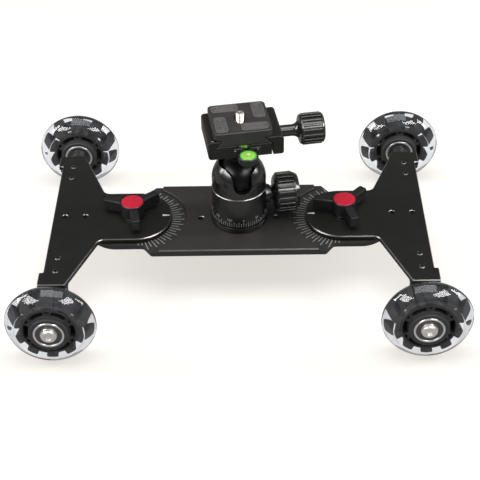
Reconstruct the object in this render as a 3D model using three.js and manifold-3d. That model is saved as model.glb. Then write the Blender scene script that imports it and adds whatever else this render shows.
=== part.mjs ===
// A tabletop video dolly: a centre plate, two swinging T-shaped arms on clear skate wheels,
// and a ball head with a quick-release clamp.
// Millimetres, +Z up, +X along the centre plate, +Y to the rear.
// The origin lies on the table, under the middle of the centre plate.
import * as THREE from 'three';
import { mergeVertices } from 'three/addons/utils/BufferGeometryUtils.js';
import Module from 'manifold-3d';

const wasm = await Module();
wasm.setup();

// Fits and facets
const gap = 0.3;
const overrun = 2;
const weld = 0.001;
const chordDepth = 0.24;
const wheelSides = 24;
const headSides = 20;
const bearingSides = 12;
const shaftSides = 12;
const holeSides = 8;
const ballSides = 16;
const recessSides = 28;

// Wheels, measured from each wheel's middle plane along its axle
const wheelRadius = 32;
const wheelX = 130.5;
const wheelY = 106.3;
const crownRadius = 29.9;
const crownWidth = 4.8;
const flankRadius = 27.3;
const flankWidth = 8;
const shoulderRadius = 24.5;
const shoulderWidth = 9.5;
const hubRadius = 20;
const hubHalfWidth = 8.4;
const tabRadius = 24.3;
const tabHalfWidth = 2.5;
const tabCount = 10;
const tabTurnShare = 0.56;
const coreRadius = 13.7;
const shoulderBore = 9.6;
const windowInner = 14.5;
const windowOuter = 18;
const windowCount = 6;
const windowTurn = 38;
const smallWindowTurn = 13;

// Bearings and axles
const bearingRadius = 11;
const bearingWidth = 7;
const bearingFace = 12;
const raceWall = 1.5;
const shieldDepth = 0.35;
const sleeveRadius = 5.9;
const collarRadius = 7;
const axleRadius = 4;
const axleHeadRadius = 5.5;
const axleHeadHeight = 1.9;
const axleHeadBevel = 0.6;
const hexRadius = 2.4;
const hexDepth = 2.6;

// Centre plate
const plateTop = 42;
const plateThickness = 6;
const plateHalfWidth = 40;
const plateCornerX = 64;
const plateNeckX = 70;
const plateEndRadius = 31.3;
const plateCornerRound = 1.5;
const plateNeckRound = 4;
const plateBevel = 1.2;
const pivotX = 79;
const recessDepth = 2;
const recessRadius = 40;
const recessX = 58.4;
const sideHoleX = 28.2;
const sideHoleY = -1.5;
const sideHoleRadius = 2.3;

// Arms: the tongue measured from the pivot, the ends from the wheels' axle
const armThickness = 3.7;
const armBevel = 0.7;
const tongueRadius = 28.5;
const armRoot = 23.5;
const armRootRound = 6;
const armEndInside = 7.9;
const armEndOutside = 8.7;
const armEndY = 79;
const tabOutside = 11.8;
const tabLength = 14;
const tabRound = 0.8;
const armCornerRound = 1;
const endHoleY = 64;
const endHoleSpacing = 14.7;
const middleHoleSpacing = 15.3;
const armHoleRadius = 1.9;
const middleHoleRadius = 2.2;

// Axle brackets under the arm ends
const bracketHalfWidth = 9;
const bracketReach = 36;
const bracketFlange = 4.5;
const bracketLeg = 8;

// Pivot studs, washers and clamp knobs
const studRadius = 3;
const studHeadRadius = 7.5;
const studHeadHeight = 3.4;
const washerRadius = 7;
const washerThickness = 1.6;
const knobHubRadius = 8.9;
const knobHubHeight = 10.8;
const knobArmReach = 23;
const knobArmWidth = 6.6;
const knobArmHeight = 9;
const knobArmRound = 1;
const knobArmBevel = 0.7;
const knobArmRise = 0.7;
const knobStudRoom = 7;
const capRadius = 8.2;
const capThickness = 1.5;
const capCrown = 0.5;
const capPocketDepth = 1.2;
const leftKnobTurn = 40;
const rightKnobTurn = 47;

// Ball head, measured from its own upright axis; the lock knob and the ball's centre
// are measured up from the base, and the housing's details from the ball's centre
const headX = 0.8;
const headTurn = 9;
const baseRadius = 21.4;
const baseHeight = 4;
const spigotRadius = 10;
const spigotHeight = 5;
const mountScrewRadius = 4.7;
const mountScrewHeadRadius = 8;
const mountScrewHeadHeight = 3.2;
const mountScrewLength = 12;
const housingRadius = 20.3;
const ballRise = 33.7;
const seamDrop = 8.6;
const seamDepth = 0.35;
const domeRadius = 20;
const domeDrop = 0.8;
const mouthRadius = 14.5;
const ballRadius = 16;
const ballPlay = 0.6;
const slotHalfWidth = 6.75;
const slotRise = 3.2;
const bossRadius = 7;
const bossReach = 23;
const lockRise = 14.5;
const lockShaftRadius = 4;
const lockShaftDepth = 6;
const lockNeckRadius = 4.6;
const lockNeckLength = 1.6;
const lockFlareRadius = 12.4;
const lockRadius = 15;
const lockRoot = 13.7;
const lockStart = 27.4;
const lockLength = 12.6;
const lockShoulder = 4.2;
const lockEndRadius = 12;
const lockRibs = 20;
const ribShare = 0.52;
const stemRadius = 5;
const stemFlareRadius = 9;
const stemFlareHeight = 7;
const stemTopHeight = 2;

// Clamp, measured from the ball head's axis and from the height of the clamp's screw,
// which is measured from the ball's centre
const channelX = 1.4;
const screwRise = 35;
const clampDrop = 5.7;
const jawDrop = 6;
const channelRise = 4.2;
const lipRise = 9;
const clampHalfLength = 19.5;
const clampLeft = -24;
const clampRight = 21.4;
const lipHalfGap = 15.8;
const channelHalfWidth = 19.8;
const clampRound = 1.5;
const jawClearance = 0.9;
const jawOuter = 30;
const screwRadius = 3;
const screwDepth = 8;
const neckRadius = 4.25;
const neckLength = 9.5;
const gripStart = 44.8;
const flareRadius = 9.2;
const gripRadius = 11.5;
const gripRoot = 10.5;
const gripKnobLength = 16.4;
const gripBevel = 1;
const gripRibs = 18;

// Quick-release plate, its grips and its camera screw
const slabHalfX = 20.85;
const slabHalfY = 19.3;
const slabThickness = 5.7;
const slabRound = 3.5;
const slabBevel = 0.6;
const padLength = 20;
const padWidth = 9.2;
const padRound = 3;
const padMargin = 1.8;
const padThickness = 1;
const padPocket = 0.6;
const cameraScrewRadius = 3.175;
const cameraScrewRise = 5.8;
const cameraScrewBevel = 0.6;
const cameraScrewY = -1.8;
const cameraHeadRadius = 7;
const cameraHeadHeight = 2.2;
const cameraSlotHalfLength = 3.5;

// Levels on the front of the clamp
const levelX = 3.3;
const levelY = -25.9;
const cupRadius = 7.2;
const cupDrop = 3;
const cupHeight = 6.7;
const vialRadius = 6;
const vialDepth = 3.6;
const vialCrown = 0.8;
const holderHalfWidth = 10;
const holderThickness = 1.5;
const holderHeight = 5.6;
const holderDrop = 1.2;
const tubeX = 1.4;
const tubeRadius = 1.4;
const tubeLength = 9.2;

// Heights and places that follow from the sizes above
const axleHeight = wheelRadius;
const plateBottom = plateTop - plateThickness;
const recessFloor = plateTop - recessDepth;
const armBottom = recessFloor + gap;
const armTop = armBottom + armThickness;
const bracketTop = armBottom - gap;
const washerBottom = armTop + gap;
const knobBottom = washerBottom + washerThickness + gap;
const knobTop = knobBottom + knobHubHeight;
const baseBottom = plateTop + gap;
const baseTop = baseBottom + baseHeight;
const housingBottom = baseTop + gap;
const lockHeight = baseTop + lockRise;
const ballHeight = baseTop + ballRise;
const seamHeight = ballHeight - seamDrop;
const domeHeight = ballHeight - domeDrop;
const slotHeight = ballHeight + slotRise;
const screwHeight = ballHeight + screwRise;
const clampBottom = screwHeight - clampDrop;
const channelFloor = screwHeight + channelRise;
const lipTop = screwHeight + lipRise;
const slabBottom = lipTop + gap;
const slabTop = slabBottom + slabThickness;
const clampFront = -clampHalfLength;
const holderBack = clampFront - gap;
const holderTop = channelFloor - holderDrop;
const cupTop = holderTop - cupDrop;
const tubeRoom = tubeRadius + gap;
const tubeHeight = channelFloor - tubeRoom;
const tubeY = clampFront + tubeRoom;
const jawInner = clampRight + jawClearance;
const jawBottom = screwHeight - jawDrop;
const flankSlope = (channelHalfWidth - lipHalfGap) / (lipTop - channelFloor);

// Looks: the colour, roughness and metalness of each material
const anodised = { color: 0x232324, roughness: 0.5, metalness: 0.6 };
const bracketBlack = { color: 0x1c1c1d, roughness: 0.55, metalness: 0.5 };
const knobPlastic = { color: 0x151515, roughness: 0.5, metalness: 0 };
const capRed = { color: 0xd8203a, roughness: 0.3, metalness: 0 };
const hubPlastic = { color: 0x1a1a1b, roughness: 0.45, metalness: 0 };
const tyreClear = { color: 0xc9d0da, roughness: 0.15, metalness: 0 };
const brightSteel = { color: 0xd6d6d8, roughness: 0.25, metalness: 1 };
const bearingSteel = { color: 0xb9babd, roughness: 0.3, metalness: 1 };
const ballChrome = { color: 0x4a4a4c, roughness: 0.2, metalness: 1 };
const gripRubber = { color: 0x9a989a, roughness: 0.8, metalness: 0 };
const screwBrass = { color: 0xd9c8b0, roughness: 0.3, metalness: 1 };
const levelGreen = { color: 0xb7e61f, roughness: 0.15, metalness: 0 };

// Corners [x, y, radius] joined by straight lines, each rounded by an arc where it has a radius
function roundedPoints(corners) {
  const points = [];
  corners.forEach(([x, y, radius], i) => {
    const corner = new THREE.Vector2(x, y);
    if (!radius) {
      points.push(corner);
      return;
    }
    const [beforeX, beforeY] = corners[(i + corners.length - 1) % corners.length];
    const [afterX, afterY] = corners[(i + 1) % corners.length];
    const back = new THREE.Vector2(beforeX, beforeY).sub(corner).normalize();
    const ahead = new THREE.Vector2(afterX, afterY).sub(corner).normalize();
    const half = Math.acos(THREE.MathUtils.clamp(back.dot(ahead), -1, 1)) / 2;
    const middle = back.clone().add(ahead).normalize().multiplyScalar(radius / Math.sin(half));
    const centre = corner.clone().add(middle);
    const first = corner.clone().addScaledVector(back, radius / Math.tan(half)).sub(centre);
    const turn = (Math.PI - 2 * half) * Math.sign(ahead.cross(back));
    const step = 2 * Math.acos(1 - chordDepth / radius);
    const pieces = Math.max(1, Math.round(Math.abs(turn) / step));
    for (let k = 0; k <= pieces; k += 1) {
      points.push(first.clone().rotateAround(new THREE.Vector2(), turn * k / pieces).add(centre));
    }
  });
  return points;
}

// A rounded rectangle about a centre
function rectanglePoints(halfX, halfY, radius, centreX = 0, centreY = 0) {
  return roundedPoints([
    [centreX + halfX, centreY - halfY, radius],
    [centreX + halfX, centreY + halfY, radius],
    [centreX - halfX, centreY + halfY, radius],
    [centreX - halfX, centreY - halfY, radius],
  ]);
}

// A regular circle of points
function circlePoints(radius, sides, centreX = 0, centreY = 0) {
  return Array.from({ length: sides }, (_, i) => {
    const angle = 2 * Math.PI * i / sides;
    return new THREE.Vector2(centreX + radius * Math.cos(angle), centreY + radius * Math.sin(angle));
  });
}

// A point at a radius and an angle in degrees
function polar(radius, angle) {
  const turn = THREE.MathUtils.degToRad(angle);
  return new THREE.Vector2(radius * Math.cos(turn), radius * Math.sin(turn));
}

// A toothed outline: crests and roots joined by short flanks
function toothedPoints(count, crest, root, crestShare, flankShare = 0.1) {
  const pitch = 360 / count;
  const half = pitch * crestShare / 2;
  const flank = pitch * flankShare;
  const points = [];
  for (let i = 0; i < count; i += 1) {
    const middle = i * pitch;
    points.push(polar(root, middle - half - flank), polar(crest, middle - half));
    points.push(polar(crest, middle + half), polar(root, middle + half + flank));
  }
  return points;
}

// A prism on an outline, from one height up, its edges bevelled inside the outline
function prism(points, bottom, height, bevel = 0) {
  const geometry = new THREE.ExtrudeGeometry(new THREE.Shape(points), {
    depth: height - 2 * bevel,
    bevelEnabled: bevel > 0,
    bevelThickness: bevel,
    bevelSize: bevel,
    bevelOffset: -bevel,
    bevelSegments: 1,
    curveSegments: 1,
    steps: 1,
  });
  return geometry.translate(0, 0, bottom + bevel);
}

// A solid turned about Z from a profile of [radius, height]
function turned(profile, sides) {
  const points = profile.map(([radius, height]) => new THREE.Vector2(radius, height));
  return new THREE.LatheGeometry(points, sides).rotateX(Math.PI / 2);
}

// A ring turned about Z: its profile closes on itself
function ring(profile, sides) {
  return turned([...profile, profile[0]], sides);
}

// A plain cylinder along Z
function rod(radius, bottom, top, sides) {
  return turned([[0, bottom], [radius, bottom], [radius, top], [0, top]], sides);
}

// A geometry's shared vertices merged, its flat triangles dropped and its faces turned outward
function toSolid(geometry) {
  const bare = geometry.clone();
  bare.deleteAttribute('normal');
  bare.deleteAttribute('uv');
  const merged = mergeVertices(bare, weld);
  const places = merged.getAttribute('position');
  const corners = merged.getIndex().array;
  const [a, b, c] = [new THREE.Vector3(), new THREE.Vector3(), new THREE.Vector3()];
  const kept = [];
  let volume = 0;
  for (let i = 0; i < corners.length; i += 3) {
    const [p, q, r] = corners.slice(i, i + 3);
    if (p !== q && q !== r && r !== p) {
      kept.push([p, q, r]);
      volume += a.fromBufferAttribute(places, p)
        .dot(b.fromBufferAttribute(places, q).cross(c.fromBufferAttribute(places, r)));
    }
  }
  const facing = kept.map(([p, q, r]) => (volume < 0 ? [p, r, q] : [p, q, r]));
  return new wasm.Manifold(new wasm.Mesh({
    numProp: 3,
    vertProperties: new Float32Array(places.array),
    triVerts: new Uint32Array(facing.flat()),
  }));
}

// A solid back as a geometry
function toGeometry(solid) {
  const mesh = solid.getMesh();
  const geometry = new THREE.BufferGeometry();
  geometry.setAttribute('position', new THREE.BufferAttribute(mesh.vertProperties, 3));
  geometry.setIndex(new THREE.BufferAttribute(mesh.triVerts, 1));
  return geometry;
}

function join(...geometries) {
  return toGeometry(geometries.map(toSolid).reduce((whole, piece) => whole.add(piece)));
}

function cut(geometry, ...tools) {
  return toGeometry(tools.map(toSolid).reduce((whole, tool) => whole.subtract(tool), toSolid(geometry)));
}

// Cuts outlines straight through a piece, from one height to another
function pierce(geometry, bottom, top, ...outlines) {
  const height = top - bottom + 2 * overrun;
  return cut(geometry, ...outlines.map((points) => prism(points, bottom - overrun, height)));
}

// Places a named piece in a group, with a material of its own
function add(group, name, geometry, look) {
  const material = new THREE.MeshStandardMaterial({ ...look, flatShading: true });
  const mesh = new THREE.Mesh(toGeometry(toSolid(geometry)), material);
  mesh.name = name;
  group.add(mesh);
}

// Tyre: a rounded ring that holds the hub's rim and its tabs, standing on a flat of its tread
function tyreGeometry() {
  const side = [
    [hubRadius + gap, hubHalfWidth],
    [shoulderRadius, shoulderWidth],
    [flankRadius, flankWidth],
    [crownRadius, crownWidth],
  ];
  const groove = [
    [hubRadius + gap, tabHalfWidth + gap],
    [tabRadius + gap, tabHalfWidth + gap],
  ];
  const low = (pairs) => pairs.map(([radius, width]) => [radius, -width]);
  const tread = wheelRadius / Math.cos(Math.PI / wheelSides);
  return ring([
    ...low(side), [tread, 0], ...side.toReversed(),
    ...groove, ...low(groove).toReversed(),
  ], wheelSides).rotateZ(Math.PI / wheelSides);
}

// Hub: a bearing core, six large and six small windows, a rim, and tabs that lock it in the tyre
function hubGeometry() {
  const pitch = 360 / windowCount;
  const windows = [];
  for (let i = 0; i < windowCount; i += 1) {
    const middle = i * pitch;
    const half = windowTurn / 2;
    windows.push([
      polar(windowInner, middle - half), polar(windowInner, middle + half),
      polar(windowOuter, middle + half), polar(windowOuter, middle - half),
    ]);
    const between = middle + pitch / 2;
    const reach = smallWindowTurn / 2;
    windows.push([
      polar((windowInner + windowOuter) / 2, between),
      polar(windowOuter, between + reach), polar(windowOuter, between - reach),
    ]);
  }
  const rim = [];
  for (let i = 0; i < tabCount; i += 1) {
    const middle = i * 360 / tabCount;
    const half = tabTurnShare * 180 / tabCount;
    rim.push(polar(hubRadius, middle - half), polar(hubRadius, middle + half));
  }
  const disc = prism(rim, -hubHalfWidth, 2 * hubHalfWidth);
  const tabs = prism(toothedPoints(tabCount, tabRadius, hubRadius, tabTurnShare, 0),
    -tabHalfWidth, 2 * tabHalfWidth);
  const core = rod(coreRadius, -bearingFace, bearingFace, bearingSides);
  const open = pierce(join(disc, tabs, core), -bearingFace, bearingFace,
    circlePoints(shoulderBore, bearingSides), ...windows);
  const seatDepth = bearingWidth + gap;
  const seat = (side) => rod(bearingRadius + gap, -seatDepth, overrun, bearingSides)
    .rotateX(side > 0 ? 0 : Math.PI).translate(0, 0, side * bearingFace);
  return cut(open, seat(1), seat(-1));
}

// Outer race and shields of a bearing, with its outer face upward
function bearingGeometry() {
  const inner = sleeveRadius + gap;
  const back = bearingFace - bearingWidth;
  return ring([
    [inner, back], [bearingRadius, back], [bearingRadius, bearingFace],
    [bearingRadius - raceWall, bearingFace], [inner, bearingFace - shieldDepth],
  ], bearingSides);
}

// Inner races and spacer in one sleeve that stays with the arm
function sleeveGeometry() {
  const bore = axleRadius + gap;
  const end = armEndY + gap - wheelY;
  const collar = -bearingFace - gap;
  return ring([
    [bore, end], [collarRadius, end], [collarRadius, collar],
    [sleeveRadius, collar], [sleeveRadius, bearingFace], [bore, bearingFace],
  ], shaftSides);
}

// Axle bolt, screwed into the bracket's leg, with a hexagon socket in its low head
function axleBoltGeometry() {
  const seat = bearingFace + gap;
  const top = seat + axleHeadHeight;
  const end = armEndY - bracketLeg + gap - wheelY;
  const bolt = turned([
    [0, end], [axleRadius, end], [axleRadius, seat], [axleHeadRadius, seat],
    [axleHeadRadius, top - axleHeadBevel], [axleHeadRadius - axleHeadBevel, top], [0, top],
  ], shaftSides);
  return cut(bolt, prism(circlePoints(hexRadius, 6), top - hexDepth, hexDepth + overrun));
}

// Bracket: a flange screwed under the arm end and a leg round the axle
function bracketGeometry() {
  const leg = prism(roundedPoints([
    [bracketHalfWidth, axleHeight - bracketHalfWidth, bracketHalfWidth],
    [bracketHalfWidth, bracketTop, 0],
    [-bracketHalfWidth, bracketTop, 0],
    [-bracketHalfWidth, axleHeight - bracketHalfWidth, bracketHalfWidth],
  ]), 0, bracketLeg).rotateX(Math.PI / 2).translate(0, armEndY, 0);
  const flangePoints = roundedPoints([
    [bracketHalfWidth, armEndY - bracketReach, armCornerRound], [bracketHalfWidth, armEndY, 0],
    [-bracketHalfWidth, armEndY, 0], [-bracketHalfWidth, armEndY - bracketReach, armCornerRound],
  ]);
  const flange = prism(flangePoints, bracketTop - bracketFlange, bracketFlange);
  const axle = rod(axleRadius + gap, -overrun, bracketLeg + overrun, shaftSides)
    .rotateX(Math.PI / 2).translate(0, armEndY, axleHeight);
  const holes = [0, endHoleSpacing].map((back) => (
    circlePoints(armHoleRadius, holeSides, 0, endHoleY - back)));
  return cut(pierce(join(leg, flange), bracketTop - bracketFlange, bracketTop, ...holes), axle);
}

// Centre plate: a long plate with sunk round ends for the arms
function plateGeometry() {
  const tip = pivotX + plateEndRadius;
  const half = (side) => [
    [side * plateCornerX, -side * plateHalfWidth, plateCornerRound],
    [side * plateNeckX, -side * plateEndRadius, plateNeckRound],
    [side * tip, -side * plateEndRadius, plateEndRadius],
    [side * tip, side * plateEndRadius, plateEndRadius],
    [side * plateNeckX, side * plateEndRadius, plateNeckRound],
    [side * plateCornerX, side * plateHalfWidth, plateCornerRound],
  ];
  const plate = prism(roundedPoints([...half(1), ...half(-1)]), plateBottom, plateThickness, plateBevel);
  const holes = [-1, 1].flatMap((side) => [
    circlePoints(studRadius + gap, shaftSides, side * pivotX, 0),
    circlePoints(sideHoleRadius, holeSides, side * sideHoleX, sideHoleY),
  ]);
  const headHole = circlePoints(mountScrewRadius + gap, shaftSides, headX, 0);
  const recesses = [-1, 1].flatMap((side) => {
    const far = pivotX + plateEndRadius + overrun;
    const reach = (far - recessX) / 2;
    return [
      prism(circlePoints(recessRadius, recessSides, side * pivotX, 0),
        recessFloor, recessDepth + overrun),
      prism(rectanglePoints(reach, plateHalfWidth + overrun, 0, side * (recessX + reach), 0),
        recessFloor, recessDepth + overrun),
    ];
  });
  return pierce(cut(plate, ...recesses), plateBottom, plateTop, headHole, ...holes);
}

// Arm: a round tongue that turns on the plate's end and a crossbar with wheel tabs, outward along +X
function armGeometry() {
  const axleX = wheelX - pivotX;
  const side = (y) => [
    [-tongueRadius, y * tongueRadius, tongueRadius],
    [armRoot, y * tongueRadius, armRootRound],
    [axleX - armEndInside, y * armEndY, armCornerRound],
    [axleX + tabOutside, y * armEndY, armCornerRound],
    [axleX + tabOutside, y * (armEndY - tabLength), tabRound],
    [axleX + armEndOutside, y * (armEndY - tabLength), tabRound],
  ];
  const plate = prism(roundedPoints([...side(-1), ...side(1).toReversed()]), armBottom, armThickness,
    armBevel);
  const holes = [
    circlePoints(studRadius + gap, shaftSides),
    circlePoints(middleHoleRadius, holeSides, axleX, 0),
    circlePoints(middleHoleRadius, holeSides, axleX - middleHoleSpacing, 0),
  ];
  for (const y of [-1, 1]) {
    holes.push(circlePoints(armHoleRadius, holeSides, axleX, y * endHoleY));
    holes.push(circlePoints(armHoleRadius, holeSides, axleX, y * (endHoleY - endHoleSpacing)));
  }
  return pierce(plate, armBottom, armTop, ...holes);
}

// Pivot stud with a domed head under the plate
function studGeometry() {
  const seat = plateBottom - gap;
  const rim = seat - studHeadHeight / 2;
  const top = knobBottom + knobStudRoom - gap;
  return turned([
    [0, seat - studHeadHeight], [studHeadRadius / 2, seat - studHeadHeight], [studHeadRadius, rim],
    [studHeadRadius, seat], [studRadius, seat], [studRadius, top], [0, top],
  ], shaftSides);
}

function washerGeometry() {
  return ring([
    [studRadius + gap, washerBottom], [washerRadius, washerBottom],
    [washerRadius, washerBottom + washerThickness], [studRadius + gap, washerBottom + washerThickness],
  ], bearingSides);
}

// Three-armed clamp knob, bored from below for the stud and sunk on top for its cap
function knobGeometry() {
  const armBase = knobBottom + knobArmRise;
  const arms = [0, 1, 2].map((i) => {
    const points = rectanglePoints(knobArmReach / 2, knobArmWidth / 2, knobArmRound, knobArmReach / 2, 0);
    return prism(points, armBase, knobArmHeight, knobArmBevel).rotateZ(2 * Math.PI * i / 3);
  });
  const hub = rod(knobHubRadius, knobBottom, knobTop, bearingSides);
  const bore = rod(studRadius + gap, knobBottom - overrun, knobBottom + knobStudRoom, shaftSides);
  const pocket = rod(capRadius + gap, knobTop - capPocketDepth, knobTop + overrun, bearingSides);
  return cut(join(hub, ...arms), bore, pocket);
}

function capGeometry() {
  const bottom = knobTop - capPocketDepth + gap;
  const rim = bottom + capThickness - capCrown;
  return turned([
    [0, bottom], [capRadius, bottom], [capRadius, rim],
    [capRadius * 2 / 3, rim + capCrown * 2 / 3], [0, rim + capCrown],
  ], bearingSides);
}

// Fixed base of the ball head, with the spigot that the housing turns on
function baseGeometry() {
  const bore = mountScrewRadius + gap;
  return ring([
    [bore, baseBottom], [baseRadius, baseBottom], [baseRadius, baseTop], [spigotRadius, baseTop],
    [spigotRadius, baseTop + spigotHeight], [bore, baseTop + spigotHeight],
  ], headSides);
}

// Screw that holds the ball head from under the plate
function mountScrewGeometry() {
  const seat = plateBottom - gap;
  return turned([
    [0, seat - mountScrewHeadHeight], [mountScrewHeadRadius, seat - mountScrewHeadHeight],
    [mountScrewHeadRadius, seat], [mountScrewRadius, seat],
    [mountScrewRadius, seat + mountScrewLength], [0, seat + mountScrewLength],
  ], bearingSides);
}

// Points of an arc about a height on the axis, from one angle above the horizontal to another
function arcProfile(radius, height, from, to, pieces) {
  return Array.from({ length: pieces + 1 }, (_, i) => {
    const point = polar(radius, from + (to - from) * i / pieces);
    return [Math.max(0, point.x), height + point.y];
  });
}

// Housing: a bullet-shaped shell round the ball, slotted in front for the stem
function housingGeometry() {
  const seat = ballRadius + ballPlay;
  const domeEnd = THREE.MathUtils.radToDeg(Math.acos(mouthRadius / domeRadius));
  const seatEnd = THREE.MathUtils.radToDeg(Math.acos(mouthRadius / seat));
  const spigotRoof = baseTop + spigotHeight + gap;
  const shell = turned([
    [0, spigotRoof], [spigotRadius + gap, spigotRoof], [spigotRadius + gap, housingBottom],
    [housingRadius, housingBottom], [housingRadius, seamHeight],
    [domeRadius - seamDepth, seamHeight + seamDepth],
    ...arcProfile(domeRadius, domeHeight, 0, domeEnd, 3),
    ...arcProfile(seat, ballHeight, seatEnd, -90, 6),
  ], headSides);
  const slotTop = domeHeight + domeRadius;
  const slotPoints = roundedPoints([
    [slotHalfWidth, slotHeight - slotHalfWidth, slotHalfWidth],
    [slotHalfWidth, slotTop, 0],
    [-slotHalfWidth, slotTop, 0],
    [-slotHalfWidth, slotHeight - slotHalfWidth, slotHalfWidth],
  ]);
  const slot = prism(slotPoints, 0, domeRadius + overrun).rotateX(Math.PI / 2);
  const boss = rod(bossRadius, housingRadius - lockShaftDepth, bossReach, bearingSides)
    .rotateY(Math.PI / 2).translate(0, 0, lockHeight);
  const bore = rod(lockShaftRadius + gap, bossReach - lockShaftDepth - gap, bossReach + overrun, shaftSides)
    .rotateY(Math.PI / 2).translate(0, 0, lockHeight);
  return cut(join(shell, boss), slot, bore);
}

// Main lock knob: a shaft in the housing's boss, a flared neck and a ribbed grip
function lockKnobGeometry() {
  const neck = bossReach + gap;
  const grip = prism(toothedPoints(lockRibs, lockRadius, lockRoot, ribShare), lockStart, lockLength);
  const body = turned([
    [0, bossReach - lockShaftDepth], [lockShaftRadius, bossReach - lockShaftDepth],
    [lockShaftRadius, neck], [lockNeckRadius, neck], [lockNeckRadius, neck + lockNeckLength],
    [lockFlareRadius, lockStart - lockNeckLength / 2], [lockRoot - gap, lockStart],
    [lockRoot - gap, lockStart + lockLength + lockShoulder / 2],
    [lockEndRadius, lockStart + lockLength + lockShoulder],
    [0, lockStart + lockLength + lockShoulder],
  ], bearingSides);
  return join(grip, body).rotateY(Math.PI / 2).translate(0, 0, lockHeight);
}

function ballGeometry() {
  return new THREE.SphereGeometry(ballRadius, ballSides, ballSides / 2)
    .rotateX(Math.PI / 2).translate(0, 0, ballHeight);
}

// Stem from the ball to the clamp, hollowed underneath to sit on the ball
function stemGeometry() {
  const top = clampBottom - gap;
  const seat = ballRadius + gap;
  const footTurn = THREE.MathUtils.radToDeg(Math.acos(stemRadius / seat));
  return turned([
    ...arcProfile(seat, ballHeight, 90, footTurn, 2), [stemRadius, top - stemFlareHeight],
    [stemFlareRadius, top - stemTopHeight], [stemFlareRadius, top], [0, top],
  ], bearingSides);
}

// Clamp body with its fixed jaw on the left and a pocket for the tube level in its front edge
function clampBodyGeometry() {
  const profile = roundedPoints([
    [clampLeft, clampBottom, clampRound], [clampRight, clampBottom, 0], [clampRight, channelFloor, 0],
    [channelX - channelHalfWidth, channelFloor, 0],
    [channelX - lipHalfGap, lipTop, 0], [clampLeft, lipTop, clampRound],
  ]);
  const body = prism(profile, 0, 2 * clampHalfLength).rotateX(Math.PI / 2)
    .translate(0, clampHalfLength, 0);
  const bore = rod(screwRadius + gap, clampRight - screwDepth - gap, clampRight + overrun, shaftSides)
    .rotateY(Math.PI / 2).translate(0, 0, screwHeight);
  const pocketDepth = 2 * tubeRoom + overrun;
  const pocket = new THREE.BoxGeometry(tubeLength + 2 * gap, pocketDepth, pocketDepth)
    .translate(tubeX, tubeY - overrun / 2, tubeHeight + overrun / 2);
  return cut(body, bore, pocket);
}

// Sliding jaw on the right
function jawGeometry() {
  const profile = roundedPoints([
    [jawInner, jawBottom, 0], [jawOuter, jawBottom, clampRound], [jawOuter, lipTop, clampRound],
    [channelX + lipHalfGap, lipTop, 0],
    [channelX + channelHalfWidth - flankSlope * gap, channelFloor + gap, 0],
    [jawInner, channelFloor + gap, 0],
  ]);
  const jaw = prism(profile, 0, 2 * clampHalfLength).rotateX(Math.PI / 2).translate(0, clampHalfLength, 0);
  const bore = rod(screwRadius + gap, jawInner - overrun, jawOuter + overrun, shaftSides)
    .rotateY(Math.PI / 2).translate(0, 0, screwHeight);
  return cut(jaw, bore);
}

// Clamp knob: a screw through the jaw, a neck that flares out and a ribbed grip
function clampKnobGeometry() {
  const neck = jawOuter + gap;
  const end = gripStart + gripKnobLength;
  const body = turned([
    [0, clampRight - screwDepth], [screwRadius, clampRight - screwDepth], [screwRadius, neck],
    [neckRadius, neck], [neckRadius, neck + neckLength], [flareRadius, gripStart],
    [gripRoot - gap, gripStart + gripBevel], [gripRoot - gap, end],
    [gripRoot - gripBevel, end + gripBevel],
    [0, end + gripBevel],
  ], bearingSides);
  const grip = prism(toothedPoints(gripRibs, gripRadius, gripRoot, ribShare),
    gripStart + gripBevel, gripKnobLength - gripBevel);
  return join(body, grip).rotateY(Math.PI / 2).translate(0, 0, screwHeight);
}

// Places of the four grips: two long ways across and two along, in a pinwheel
function padOutlines(grow) {
  const alongX = slabHalfX - padMargin - padLength / 2;
  const alongY = slabHalfY - padMargin - padWidth / 2;
  const acrossX = slabHalfX - padMargin - padWidth / 2;
  const acrossY = slabHalfY - padMargin - padLength / 2;
  const pad = (halfX, halfY, x, y) => (
    rectanglePoints(halfX + grow, halfY + grow, padRound + grow, channelX + x, y));
  return {
    back_left_grip: pad(padLength / 2, padWidth / 2, -alongX, alongY),
    back_right_grip: pad(padWidth / 2, padLength / 2, acrossX, acrossY),
    front_left_grip: pad(padWidth / 2, padLength / 2, -acrossX, -acrossY),
    front_right_grip: pad(padLength / 2, padWidth / 2, alongX, -alongY),
  };
}

// Quick-release plate: a slab on a dovetail that clears the channel's flanks by the usual gap
function releasePlateGeometry() {
  const bottom = channelFloor + gap;
  const top = slabBottom + slabThickness / 2;
  const play = gap * Math.hypot(1, flankSlope);
  const halfAt = (height) => channelHalfWidth - play - flankSlope * (height - channelFloor);
  const profile = [
    [channelX - halfAt(bottom), bottom, 0], [channelX + halfAt(bottom), bottom, 0],
    [channelX + halfAt(top), top, 0], [channelX - halfAt(top), top, 0],
  ];
  const rail = prism(roundedPoints(profile), 0, 2 * slabHalfY).rotateX(Math.PI / 2)
    .translate(0, slabHalfY, 0);
  const slab = prism(rectanglePoints(slabHalfX, slabHalfY, slabRound, channelX, 0),
    slabBottom, slabThickness, slabBevel);
  const slotShape = (radius) => rectanglePoints(radius, cameraSlotHalfLength + radius, radius - gap / 2,
    channelX, 0);
  const headRoom = prism(slotShape(cameraHeadRadius + gap), bottom - overrun,
    cameraHeadHeight + 2 * gap + overrun);
  const slot = prism(slotShape(cameraScrewRadius + gap), bottom - overrun, slabTop + 2 * overrun - bottom);
  const pockets = Object.values(padOutlines(gap)).map((points) => (
    prism(points, slabTop - padPocket, padPocket + overrun)));
  return cut(join(rail, slab), headRoom, slot, ...pockets);
}

function padGeometry(points) {
  return prism(points, slabTop - padPocket + gap, padThickness);
}

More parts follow.
